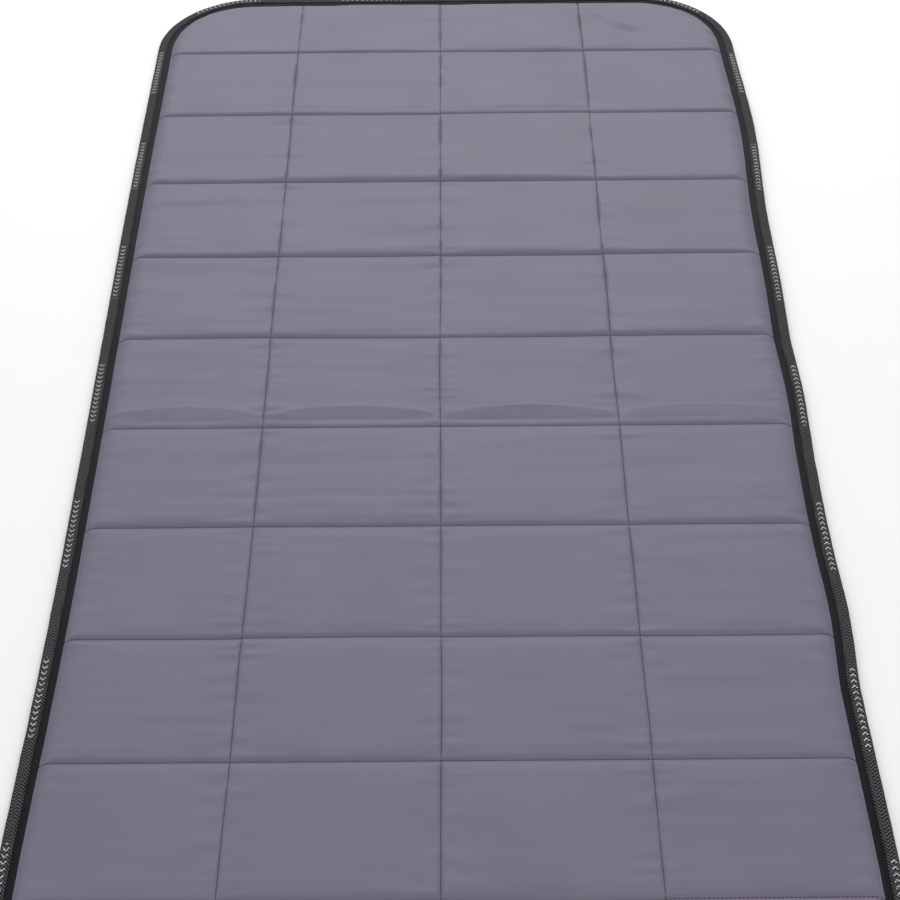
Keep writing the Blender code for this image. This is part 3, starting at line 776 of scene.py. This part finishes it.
def declare_sheet(mat: Mat, ends: tuple[float, float], inset: float, held: Held,
                  rests_on: Sequence[str]) -> None:
    """Works out the size that a sheet of cloth was cut to, and does nothing with it.

    Args:
        mat: The mat that it belongs to.
        ends: Its foot end and its head end.
        inset: How far inside the mat's outline it ends.
        held: Not used.
        rests_on: Not used.
    """
    flat, area = mat.cut_size(*ends, inset)


@dataclass
class TopCover:
    """The quilted top fabric, drawn down at its seams and relaxed as cloth."""

    mat: Mat
    thickness: float = 0.7 * MM
    edge_inset: float = 2.4 * MM
    rows: int = 28
    columns: int = 22
    crowd: float = 0.75
    slack_along: float = 0.0025
    slack_across: float = 0.003
    pressure: float = 0.18
    frames: int = 20
    rise_limit: float = 0.8 * MM
    sink_limit: float = 0.7 * MM
    dent_limit: float = 1.2 * MM
    crease_seam: float = 0.0
    crease_reach: float = 46 * MM
    rim_pitch: float = 6 * MM
    drift_limit: float = 1.5 * MM
    long_folds: tuple[float, float, float] = (0.70 * MM, 0.35 * MM, 2.1 * MM)
    column_puckers: float = 1.35 * MM
    rim_puckers: float = 1.40 * MM
    crossing_puckers: float = 1.5 * MM
    seam_gathers: float = 0.30 * MM
    corner_fold_height: float = 3.0 * MM
    crease_drop: float = 2.2 * MM
    crease_shares: tuple[float, float, float, float] = (0.8, 1.0, 0.95, 0.5)

    def lines(self, half: float, seams: Sequence[float],
              fill: Callable[[float, float], list[float]]) -> list[float]:
        """Returns grid lines over the mat's width or its length, with a line on every seam.

        Args:
            half: Half the width or the length.
            seams: The seams that the lines cross.
            fill: Places the lines from one seam to the next.

        Returns:
            The lines' positions, rising.
        """
        edge, inner = half - self.edge_inset, half - self.mat.border - 0.3 * MM
        stops = [-inner, *seams, inner]
        lines = [-edge, -edge + self.rim_pitch, -edge + 2 * self.rim_pitch, -inner]
        for low, high in zip(stops, stops[1:]):
            lines += fill(low, high)
        return lines + [edge - 2 * self.rim_pitch, edge - self.rim_pitch, edge]

    def row_lines(self, low: float, high: float) -> list[float]:
        """Returns the grid lines from one row seam to the next, finer where the crease lies."""
        if abs(low - self.crease_seam) < MM:
            fine = low + self.crease_reach
            return graded(low, fine, 20, 0.0) + graded(fine, high, 16, 0.2)
        return graded(low, high, self.rows, self.crowd)

    def pinned(self, x: float, y: float) -> bool:
        """Returns whether a point is held by a seam or by the edge."""
        row, column = self.mat.seam_distances(x, y)
        return min(row, column) < 0.5 * MM or self.mat.inset(x, y) < self.mat.border + 1.5 * MM

    def fabric(self) -> bpy.types.Object:
        """Makes the whole top as one sheet, lets it relax as cloth and refines it."""
        mat = self.mat
        across = self.lines(mat.half_width, mat.column_seams,
                            lambda low, high: graded(low, high, self.columns, self.crowd))
        bm = flat_grid(across, self.lines(mat.half_length, mat.row_seams, self.row_lines))
        raise_to(bm, mat.surface)
        start = [v.co.copy() for v in bm.verts]
        held = [i for i, co in enumerate(start) if self.pinned(co.x, co.y)]
        crease = bm.edges.layers.float.new("crease_edge")
        for edge in bm.edges:
            ends = [mat.seam_distances(v.co.x, v.co.y) for v in edge.verts]
            on_seam = any(all(distance[k] < 0.5 * MM for distance in ends) for k in (0, 1))
            edge[crease] = 0.9 if on_seam else 0.0
        piece = to_object(bm, "top_cover_whole", bpy.data.materials[GREY_FABRIC.name])
        self.relax(piece, held)
        self.hold_near(piece, start)
        finer = piece.modifiers.new("finer", "SUBSURF")
        finer.levels = finer.render_levels = 1
        settle(piece)
        return piece

    def relax(self, piece: bpy.types.Object, held: list[int]) -> None:
        """Runs the cloth simulation on the sheet and applies it.

        Args:
            piece: The sheet, in its drawn-down shape.
            held: The numbers of the vertices that the seams and the edge hold.
        """
        group = piece.vertex_groups.new(name="held")
        group.add(held, 1.0, "REPLACE")
        piece.shape_key_add(name="Basis")
        cut = piece.shape_key_add(name="cut size")
        for point in cut.data:
            x, y, z = point.co
            loose = 1 + 0.7 * grain(x / 0.07, y / 0.05, 4.0)
            point.co = (x * (1 + self.slack_across), y * (1 + self.slack_along) + 0.25 * MM * loose, z)
        cloth = piece.modifiers.new("relax", "CLOTH")
        settings = cloth.settings
        settings.rest_shape_key = cut
        settings.vertex_group_mass = group.name
        settings.pin_stiffness = 1.0
        settings.quality = 6
        settings.mass = 0.12
        settings.tension_stiffness = settings.compression_stiffness = 18.0
        settings.shear_stiffness = 6.0
        settings.bending_stiffness = 0.25
        settings.air_damping = 2.0
        settings.use_pressure = True
        settings.uniform_pressure_force = self.pressure
        settings.effector_weights.gravity = 0.0
        cloth.collision_settings.use_collision = False
        cloth.point_cache.frame_start, cloth.point_cache.frame_end = 1, self.frames
        scene = bpy.context.scene
        for step in range(1, self.frames + 1):
            scene.frame_set(step)
        settle(piece)
        piece.vertex_groups.clear()
        scene.frame_set(1)

    def hold_near(self, piece: bpy.types.Object, start: list[Vector]) -> None:
        """Caps how far the simulation moved each point from its drawn-down shape."""
        for vertex, origin in zip(piece.data.vertices, start):
            move = vertex.co - origin
            aside = Vector((move.x, move.y))
            if aside.length > self.drift_limit:
                aside *= self.drift_limit / aside.length
            rise = clamp(move.z, -self.sink_limit, self.rise_limit)
            vertex.co = origin + Vector((aside.x, aside.y, rise))

    def wrinkle(self, x: float, y: float) -> float:
        """Returns the height that wrinkles and puckers add at a point of the flat fabric."""
        mat = self.mat
        row, column = mat.seam_distances(x, y)
        rim = mat.inset(x, y) - mat.border
        free = smooth(row / (9 * MM)) * smooth(column / (4 * MM)) * smooth(rim / (5 * MM))
        patch = smooth(0.5 + 1.4 * grain(x / 0.20, y / 0.12, 1.0))
        fine, broad, head = self.long_folds
        long_folds = fine * patch * grain(x / 0.16 + 3 * y, y / 0.0125, 2.0)
        long_folds += broad * grain(x / 0.30, y / 0.040, 3.0)
        long_folds += head * smooth((y + 0.15) / 0.6) * grain(x / 0.24, y / 0.026, 11.0)
        sideways = self.column_puckers * bell(column / 0.026) * grain(x / 0.045, y / 0.0085, 5.0)
        sideways += self.rim_puckers * bell(rim / 0.028) * grain(x / 0.05, y / 0.010, 6.0)
        near_crossing = bell(row / 0.016) * bell(rim / 0.024)
        diagonal = (self.crossing_puckers * near_crossing
                    * grain((abs(x) + y) / 0.0085, (abs(x) - y) / 0.05, 7.0))
        diagonal += self.corner_fold(x, y)
        gathers = self.seam_gathers * bell((row - 7 * MM) / (8 * MM)) * grain(x / 0.009, y / 0.03, 10.0)
        height = free * (long_folds + sideways + gathers)
        height += diagonal * smooth(rim / (3 * MM)) * smooth(row / (3 * MM))
        return height if height > 0 else self.dent_limit * math.tanh(height / self.dent_limit)

    def corner_fold(self, x: float, y: float) -> float:
        """Returns the height of the slanting fold in the pad at the head's right corner."""
        start, slant, reach = (0.195, 0.855), (0.805, -0.593), 0.12
        along = ((x - start[0]) * slant[0] + (y - start[1]) * slant[1]) / reach
        across = (y - start[1]) * slant[0] - (x - start[0]) * slant[1]
        taper = smooth(along / 0.15) * smooth((1.15 - along) / 0.5)
        return self.corner_fold_height * taper * (bell(across / 0.012) - 0.6 * bell((across + 0.018) / 0.014))

    def crease(self, x: float, y: float) -> float:
        """Returns the height of the crease that lies along the head side of the middle seam."""
        seam = self.crease_seam
        if not seam < y < seam + 2 * self.crease_reach:
            return 0.0
        stops = (-self.mat.half_width + 0.02, *self.mat.column_seams, self.mat.half_width - 0.02)
        for left, right, share in zip(stops, stops[1:], self.crease_shares):
            if left <= x < right:
                t = (x - left) / (right - left)
                arch = max(0.0, math.sin(math.pi * t)) ** 0.5
                ridge = seam + (12.5 + 17.5 * arch) * MM
                trough = seam + (11.5 + 1.2 * grain(x / 0.08, 0.0, 60.0)) * MM
                drop = self.crease_drop * share * arch
                lip = 0.75 * drop
                if y >= ridge:
                    return lip * math.exp(-(y - ridge) / (2.0 * MM))
                if y >= trough:
                    return lip - (drop + lip) * swell((ridge - y) / max(ridge - trough, 2 * MM), 1.05)
                return -drop * smooth((y - seam) / (trough - seam)) ** 0.8
        return 0.0

    def build(self) -> None:
        """Builds the three spans of the top fabric."""
        whole = self.fabric()
        for span in self.mat.spans():
            bm = bmesh.new()
            bm.from_mesh(whole.data)
            uv = bm.loops.layers.uv["flat"]
            drop_outside(bm, span.low, span.high)
            for vertex in bm.verts:
                x, y = vertex.link_loops[0][uv].uv
                vertex.co.z += self.wrinkle(x, y) + self.crease(x, y)
            trim_corners(bm, self.mat, self.edge_inset)
            cut_notch(bm, self.mat)
            self.mat.warp(bm)
            piece = to_object(bm, f"top_fabric_{span.name}", bpy.data.materials[GREY_FABRIC.name])
            thicken(piece, self.thickness)
            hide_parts(*(f"top_cover_{n}" for n in span.node_names))
            declare_sheet(self.mat, (span.low, span.high), self.edge_inset, Held.SEWN_DOWN,
                          [f"wadding_layer_{n}" for n in span.sections])
            span.blend(piece)
            log.info("top fabric %s: %d faces", span.name, len(piece.data.polygons))
        bpy.data.objects.remove(whole)


@dataclass(frozen=True)
class Outline:
    """The mat's outline as a path, measured from the middle of the right edge towards the head end."""

    mat: Mat

    def lengths(self) -> tuple[float, float, float]:
        """Returns the lengths of half a side, a corner's arc and half an end."""
        mat = self.mat
        return (mat.half_length - mat.corner_radius, mat.corner_radius * math.pi / 2,
                mat.half_width - mat.corner_radius)

    def at(self, s: float) -> tuple[Vector, Vector]:
        """Returns the outline's point and its inward direction at a running length."""
        side, arc, end = self.lengths()
        quarter = side + arc + end
        number = math.floor(s / quarter)
        local = s - number * quarter if number % 2 == 0 else (number + 1) * quarter - s
        flip = Vector(((1, -1, -1, 1)[number % 4], (1, 1, -1, -1)[number % 4], 1))
        mat = self.mat
        centre = Vector((mat.half_width - mat.corner_radius, side, 0))
        if local <= side:
            place, out = Vector((mat.half_width, local, 0)), Vector((1, 0, 0))
        elif local <= side + arc:
            angle = (local - side) / mat.corner_radius
            out = Vector((math.cos(angle), math.sin(angle), 0))
            place = centre + out * mat.corner_radius
        else:
            place, out = Vector((centre.x - (local - side - arc), mat.half_length, 0)), Vector((0, 1, 0))
        return place * flip, -out * flip

    def runs(self, span: Span) -> list[list[float]]:
        """Returns the running lengths of a span's stretches of outline, closer together at its fold."""
        half = 2 * sum(self.lengths())
        if span.low > 0:
            ends = [(span.low, half - span.low)]
        elif span.high < 0:
            ends = [(half - span.high, 2 * half + span.high)]
        else:
            ends = [(span.low, span.high), (half - span.high, half - span.low)]
        folds = (span.fold, half - span.fold, 2 * half + span.fold)
        return [self.stations(start, stop, folds) for start, stop in ends]

    @staticmethod
    def stations(start: float, stop: float, folds: Sequence[float], pitch: float = 5 * MM) -> list[float]:
        """Returns running lengths along a stretch.

        Args:
            start: Where the stretch starts.
            stop: Where it stops.
            folds: Running lengths of folds, which may lie outside the stretch.
            pitch: The usual distance.

        Returns:
            The lengths, rising, closer together beside each fold.
        """
        count = round((stop - start) / pitch)
        even = [start + (stop - start) * i / count for i in range(count + 1)]
        near = [f + k * 1.4 * MM for f in folds if start < f < stop for k in range(-6, 7)]
        return sorted([s for s in even if all(abs(s - n) > 1.0 * MM for n in near)] + near)


@dataclass
class Edge:
    """The woven tape round the mat and the smooth facing beside it."""

    mat: Mat
    tape_thickness: float = 0.9 * MM
    tape_radius: float = 2.6 * MM
    tape_crown: float = 0.18 * MM
    facing_inset: float = 2.4 * MM
    facing_thickness: float = 0.4 * MM
    tape_sway: float = 0.35 * MM
    facing_sway: float = 0.25 * MM

    def tape_profile(self) -> list[tuple[float, float]]:
        """Returns the tape's outer face as inset and height, from its upper inner edge to its lower one."""
        top, radius, width = self.mat.binding_z, self.tape_radius, self.mat.binding_width
        upper = [(width, top - 0.35 * MM), (width - 0.5 * MM, top - 0.05 * MM)]
        flat = width - 0.5 * MM - radius
        upper += [(radius + flat * (1 - i / 5), top + self.tape_crown * math.sin(math.pi * i / 5))
                  for i in range(1, 5)]
        bend = []
        for i in range(7):
            angle = math.pi / 2 * i / 6
            bend.append((radius - radius * math.sin(angle), top - radius + radius * math.cos(angle)))
        lower_bend = [(d, top - z) for d, z in reversed(bend)]
        lower = [(radius + (width - radius) * i / 4, 0.0) for i in range(1, 5)]
        return upper + bend + lower_bend + lower

    def facing_profile(self) -> list[tuple[float, float]]:
        """Returns the facing's upper face as inset and height, from under the tape to its inner edge."""
        inner = self.mat.border
        return [(self.facing_inset, 6.95 * MM), (8 * MM, 6.98 * MM), (11.5 * MM, 7.0 * MM),
                (13 * MM, 7.05 * MM), (15 * MM, 7.22 * MM), (17 * MM, 7.25 * MM),
                (inner - 0.9 * MM, 7.15 * MM), (inner - 0.1 * MM, 6.85 * MM), (inner + 0.15 * MM, 6.9 * MM)]

    def sweep(self, run: Sequence[float], profile: Sequence[tuple[float, float]],
              sway: float, layer: float) -> bmesh.types.BMesh:
        """Lays a strip with the given profile along a run of the outline.

        Args:
            run: Running lengths along the outline.
            profile: Inset and height of the strip's points, across it.
            sway: How unevenly it lies.
            layer: Which unevenness it has.

        Returns:
            The strip, with a UV map of the way across and the way along it.
        """
        widths = [0.0]
        for (d0, z0), (d1, z1) in zip(profile, profile[1:]):
            widths.append(widths[-1] + math.hypot(d1 - d0, z1 - z0))
        outline = Outline(self.mat)
        path = [outline.at(s) for s in run]

        def place(column: int, row: int) -> Vector:
            """Returns where a point of the strip lies."""
            (inset, height), (spot, inward), s = profile[column], path[row], run[row]
            aside = sway * (grain(s / 0.030, inset / 0.02, layer)
                            + 0.5 * grain(s / 0.008, inset / 0.01, layer + 1))
            rise = 0.6 * sway * grain(s / 0.022, inset / 0.012, layer + 2) if height > 4 * MM else 0.0
            return spot + inward * (inset + aside) + Vector((0, 0, height + rise))

        bm = flat_grid(widths, run, place)
        self.mat.warp(bm)
        bm.normal_update()
        if max(bm.faces, key=lambda f: f.calc_center_median().z).normal.z < 0:
            bmesh.ops.reverse_faces(bm, faces=bm.faces[:])
        return bm

    def piece(self, span: Span, name: str, finish: str, profile: Sequence[tuple[float, float]],
              thickness: float, sway: float, layer: float) -> bpy.types.Object:
        """Builds one strip of a span.

        Args:
            span: The span.
            name: The piece's name.
            finish: The name of its material.
            profile: Its profile, as in sweep.
            thickness: Its thickness, inwards from the profile.
            sway: How unevenly it lies.
            layer: Which unevenness it has.

        Returns:
            The strip.
        """
        parts = [self.sweep(run, profile, sway, layer) for run in Outline(self.mat).runs(span)]
        whole = parts[0]
        for part in parts[1:]:
            absorb(whole, part)
        cut_notch(whole, self.mat)
        strip = to_object(whole, name, bpy.data.materials[finish])
        thicken(strip, thickness)
        span.blend(strip)
        return strip

    def build(self) -> None:
        """Builds the tape and the facing of every span."""
        for span in self.mat.spans():
            tape = self.piece(span, f"binding_tape_{span.name}", TAPE.name, self.tape_profile(),
                              self.tape_thickness, self.tape_sway, 20.0)
            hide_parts(*self.node_names("binding", span))
            facing = self.piece(span, f"edge_facing_{span.name}_strip", BLACK_FACING.name,
                                self.facing_profile(), self.facing_thickness, self.facing_sway, 30.0)
            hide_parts(*self.node_names("edge_facing", span))
            log.info("edge %s: %d tape faces", span.name, len(tape.data.polygons))

    @staticmethod
    def node_names(kind: str, span: Span) -> list[str]:
        """Returns the CAD nodes that a strip of a span stands for."""
        if span.name == "head":
            return [f"{kind}_head"]
        return [f"{kind}_{section}_{side}" for section in span.node_names for side in ("left", "right")]


@dataclass
class Stitching:
    """The threads of the quilting and of the edge, as single stitches."""

    mat: Mat
    length: float = 2.9 * MM
    pitch: float = 3.7 * MM
    width: float = 0.50 * MM
    depth: float = 0.32 * MM
    edge_pitch: float = 3.4 * MM
    tape_inset: float = 10.7 * MM
    facing_inset: float = 17.9 * MM
    facing_height: float = 7.3 * MM
    raised: float = 0.34 * MM
    batch: int = 100  # stitches made together, because one long mesh grows slowly

    def stitch(self, bm: bmesh.types.BMesh, place: Vector, along: Vector, length: float) -> None:
        """Adds one stitch, a short rounded bar.

        Args:
            bm: The mesh that it joins.
            place: Its middle, in plan coordinates.
            along: The direction it lies in.
            length: Its length.
        """
        turn = along.to_track_quat("X", "Z").to_matrix().to_4x4()
        size = Matrix.Diagonal((length / 2, self.width, self.depth, 1))
        bmesh.ops.create_icosphere(bm, subdivisions=1, radius=1.0,
                                   matrix=Matrix.Translation(place) @ turn @ size)

    def seams(self, span: Span, height: Height) -> bmesh.types.BMesh:
        """Sews the seams of one span.

        Args:
            span: The span.
            height: The height of the thread at a point in plan.

        Returns:
            The stitches, in their places on the real mat.
        """
        mat, bm = self.mat, bmesh.new()
        clear = mat.border + 0.6 * MM
        lines = [(Vector((-mat.half_width, y, 0)), Vector((1, 0, 0)), 2 * mat.half_width)
                 for y in mat.row_seams if span.low - 1 * MM < y < span.high - 1 * MM]
        lines += [(Vector((x, span.low, 0)), Vector((0, 1, 0)), span.high - span.low)
                  for x in mat.column_seams]
        for start, along, reach in lines:
            loose = bmesh.new()
            count = int(reach / self.pitch)
            for number in range(count):
                spot = start + along * (number + 0.5) * reach / count
                if mat.inset(spot.x, spot.y) > clear and mat.notch_distance(spot.x, spot.y) > 2 * MM:
                    spot.z = height(spot.x, spot.y)
                    length = self.length * (1 + 0.12 * grain(number * 0.7, spot.y * 9, 40.0))
                    self.stitch(loose, spot, along, length)
            absorb(bm, loose)
        mat.warp(bm)
        return bm

    def edge(self, bm: bmesh.types.BMesh, span: Span, inset: float, height: float) -> None:
        """Sews a line of stitches along the outline.

        Args:
            bm: The mesh that they join.
            span: The span.
            inset: How far inside the outline they run.
            height: The height of the thread.
        """
        outline = Outline(self.mat)
        for run in outline.runs(span):
            count = int((run[-1] - run[0]) / self.edge_pitch)
            for first in range(0, count, self.batch):
                loose = bmesh.new()
                for number in range(first, min(first + self.batch, count)):
                    spot, inward = outline.at(run[0] + (number + 0.5) * (run[-1] - run[0]) / count)
                    place = spot + inward * inset + Vector((0, 0, height))
                    if self.mat.notch_distance(place.x, place.y) > 1.5 * MM:
                        self.stitch(loose, place, Vector((-inward.y, inward.x, 0)), 0.76 * self.edge_pitch)
                self.mat.warp(loose)
                absorb(bm, loose)

    def build(self) -> None:
        """Builds the threads of every span, over and under the mat."""
        mat = self.mat
        # The top threads' colour holds the thread's own colour plus painted shade of the seam grooves.
        thread_with_shade, black = bpy.data.materials[THREAD_WITH_GROOVE_SHADE.name], bpy.data.materials[BLACK_THREAD.name]
        for span in mat.spans():
            made = [
                (to_object(self.seams(span, lambda x, y: mat.surface(x, y) + self.raised),
                           f"quilting_thread_top_{span.name}", thread_with_shade), "top_cover"),
                (to_object(self.seams(span, lambda x, y: mat.underside(x, y) - 0.05 * MM),
                           f"quilting_thread_under_{span.name}", black), "bottom_cover"),
            ]
            edges = bmesh.new()
            for inset, height in ((self.tape_inset, mat.binding_z + 0.10 * MM),
                                  (self.facing_inset, self.facing_height), (self.tape_inset, 0.12 * MM)):
                self.edge(edges, span, inset, height)
            made.append((to_object(edges, f"edge_thread_{span.name}", black), "binding_webbing"))
            for piece, slot in made:
                span.blend(piece)
                log.info("%s: %d faces", piece.name, len(piece.data.polygons))


@dataclass
class Underside:
    """The bottom cover, drawn up into shallow channels at the quilting."""

    mat: Mat
    thickness: float = 0.5 * MM
    edge_inset: float = 2.4 * MM
    lines: int = 16
    crowd: float = 0.6
    bend_pitch: float = 1.75 * MM  # lines close enough for the fold to stay round

    def build(self) -> None:
        """Builds the cover of every span."""
        mat = self.mat
        for span in mat.spans():
            across, along = mat.pad_lines(span.low, span.high, self.edge_inset, self.lines, self.crowd)
            bend = [span.fold + number * self.bend_pitch for number in range(-4, 5)]
            along = sorted([y for y in along if abs(y - span.fold) > 4.5 * self.bend_pitch] + bend)
            piece = slab(mat, f"bottom_fabric_{span.name}", bpy.data.materials[DARK_LINING.name],
                         (across, along), self.ripple, lambda x, y: self.ripple(x, y) + self.thickness,
                         self.edge_inset)
            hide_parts(*(f"bottom_cover_{n}" for n in span.node_names))
            declare_sheet(mat, (span.low, span.high), self.edge_inset, Held.SEWN_DOWN,
                          [f"insulation_layer_{n}" for n in span.sections])
            span.blend(piece)
            log.info("%s: %d faces", piece.name, len(piece.data.polygons))

    def ripple(self, x: float, y: float) -> float:
        """Returns the height of the cover's lower face, with its faint unevenness."""
        row, column = self.mat.seam_distances(x, y)
        free = smooth(min(row, column) / (12 * MM)) * smooth((self.mat.inset(x, y) - 20 * MM) / (10 * MM))
        return self.mat.underside(x, y) + 0.22 * MM * free * (1 + grain(x / 0.06, y / 0.018, 50.0))


@dataclass
class InnerLayers:
    """Wadding, heater felt, foil and insulation, one of each for every section."""

    mat: Mat
    crease: Height
    seam_gap: float = 0.3 * MM
    crowd: float = 0.5
    felt_inset: float = 22 * MM
    pad_inset: float = 29 * MM
    edge_inset: float = 2.4 * MM
    wadding_clearance: float = 3.1 * MM
    rim_clearance: float = 1.4 * MM

    def sections(self) -> dict[str, tuple[float, float]]:
        """Returns each section's two ends along the mat."""
        mat, gap = self.mat, self.seam_gap
        return {"head": (mat.end_fold + gap, mat.half_length), "upper": (gap, mat.end_fold - gap),
                "lower": (-mat.end_fold + gap, -gap), "foot": (-mat.half_length, -mat.end_fold - gap)}

    def layers(self) -> list[tuple[str, str, float, int, Height, Height]]:
        """Returns each layer's name, finish, inset, lines in a pad, and its lower and upper heights."""
        mat = self.mat
        return [
            ("wadding", WHITE_WADDING.name, self.pad_inset, 12, lambda x, y: 8.7 * MM,
             lambda x, y: max(8.9 * MM,
                              mat.surface(x, y) + min(0.0, self.crease(x, y)) - self.clearance(x, y))),
            ("heater_felt", CREAM_FELT.name, self.felt_inset, 4, lambda x, y: 5.1 * MM, lambda x, y: 6.1 * MM),
            ("reflective_foil", SILVER_FOIL.name, self.felt_inset, 4, lambda x, y: 4.4 * MM,
             lambda x, y: 4.8 * MM),
            ("insulation", GREY_FELT.name, self.edge_inset, 14,
             lambda x, y: max(1.1 * MM, mat.underside(x, y) + 0.9 * MM),
             lambda x, y: 4.1 * MM + mat.lift(x, y)),
        ]

    def clearance(self, x: float, y: float) -> float:
        """Returns the gap between the wadding and the top fabric, wider at the edge and the corners."""
        rim = smooth((self.mat.inset(x, y) - self.pad_inset) / (12 * MM))
        return self.wadding_clearance + self.rim_clearance * (1 - rim)

    def build(self) -> None:
        """Builds every layer of every section."""
        below = {"heater_felt": "reflective_foil_layer", "reflective_foil": "insulation_layer",
                 "insulation": "bottom_cover"}
        for name, finish, inset, count, low, high in self.layers():
            for section, ends in self.sections().items():
                lines = self.mat.pad_lines(*ends, inset, count, self.crowd)
                piece = slab(self.mat, f"{name}_layer_{section}", bpy.data.materials[finish], lines,
                             low, high, inset)
                if name == "wadding":
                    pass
                else:
                    declare_sheet(self.mat, ends, inset, Held.LAID_FLAT, [f"{below[name]}_{section}"])
                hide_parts(f"{name}_{section}")
                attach(piece, f"{section}_section")
            log.info("%s: four layers", name)


def dress_nodes() -> None:
    """Gives every CAD node that stays shown its procedural finish."""
    made = {prefix: finish.make() for prefix, finish in NODE_FINISHES.items()}
    for name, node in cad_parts.items():
        if node.hide_render:
            continue
        prefix = max((p for p in made if name.startswith(p)), key=len)
        for slot in node.material_slots:
            slot.material = made[prefix]
        log.info("%s: %s", name, made[prefix].name)


@dataclass
class Studio:
    """A pale floor, soft lights and the camera."""

    camera_place: Vector
    pitch: float
    yaw: float
    roll: float
    lens: float = 75.3

    def soft_light(self, name: str, place: tuple[float, float, float], aim: tuple[float, float, float],
                   size: tuple[float, float], power: float) -> None:
        """Adds a rectangular light.

        Args:
            name: Its name.
            place: Where it hangs.
            aim: The point it faces.
            size: Its width and height.
            power: Its power in watts.
        """
        data = bpy.data.lights.new(name, "AREA")
        data.shape, data.size, data.size_y, data.energy = "RECTANGLE", *size, power
        light = bpy.data.objects.new(name, data)
        light.location = place
        light.rotation_euler = (Vector(aim) - Vector(place)).to_track_quat("-Z", "Y").to_euler()
        bpy.context.scene.collection.objects.link(light)

    def build(self) -> None:
        """Builds the floor, the lights, the world and the camera."""
        scene = bpy.context.scene
        scene.view_settings.view_transform = "Standard"
        floor_finish = Shader("pale_floor", (0.96, 0.96, 0.96), 0.7)
        place = floor_finish.node("TexCoord").outputs["Object"]
        floor_finish.roughness(floor_finish.noise(place, 12.0), 0.65, 0.75)
        bm = bmesh.new()
        bmesh.ops.create_grid(bm, x_segments=4, y_segments=4, size=14.0)
        bmesh.ops.translate(bm, vec=(0, 0, -0.3 * MM), verts=bm.verts[:])
        floor = to_object(bm, "floor", floor_finish.material, soft=False)
        floor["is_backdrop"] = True
        self.soft_light("head_light", (0.0, 3.0, 2.3), (0.0, 0.1, 0.0), (3.0, 1.2), 60.0)
        self.soft_light("side_light", (-2.6, 0.6, 2.4), (0.0, 0.2, 0.0), (2.0, 2.0), 9.0)
        self.soft_light("front_light", (1.2, -2.6, 2.8), (0.0, 0.0, 0.0), (2.4, 2.4), 28.0)
        world = bpy.data.worlds.new("studio")
        world.use_nodes = True
        backdrop = world.node_tree.nodes["Background"].inputs
        backdrop["Color"].default_value = (1.0, 1.0, 1.0, 1.0)
        backdrop["Strength"].default_value = 0.60
        scene.world = world
        data = bpy.data.cameras.new("camera")
        data.lens, data.sensor_width = self.lens, 36.0
        camera = bpy.data.objects.new("camera", data)
        forward = Vector((-math.sin(self.yaw) * math.cos(self.pitch),
                          math.cos(self.yaw) * math.cos(self.pitch), -math.sin(self.pitch)))
        turn = forward.to_track_quat("-Z", "Y") @ Matrix.Rotation(-self.roll, 4, "Z").to_quaternion()
        camera.location, camera.rotation_euler = self.camera_place, turn.to_euler()
        scene.collection.objects.link(camera)
        scene.camera = camera


def main() -> None:
    """Builds the blanket round the CAD frame and lights it."""
    logging.basicConfig(level=logging.INFO, format="%(message)s")
    cad_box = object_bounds()
    high = Vector(cad_box[1])
    for finish in (GREY_FABRIC, DARK_LINING, BLACK_FACING, TAPE, THREAD_WITH_GROOVE_SHADE, BLACK_THREAD, WHITE_WADDING,
                   CREAM_FELT, GREY_FELT, SILVER_FOIL):
        finish.make()
    mat = Mat(high.x, high.y)
    Studio(Vector((0.0091, -1.4995, 1.4547)), pitch=math.radians(44.62), yaw=math.radians(0.22),
           roll=math.radians(0.62)).build()
    top = TopCover(mat)
    top.build()
    Edge(mat).build()
    Stitching(mat).build()
    Underside(mat).build()
    InnerLayers(mat, top.crease).build()
    dress_nodes()


if __name__ == "__main__":
    main()
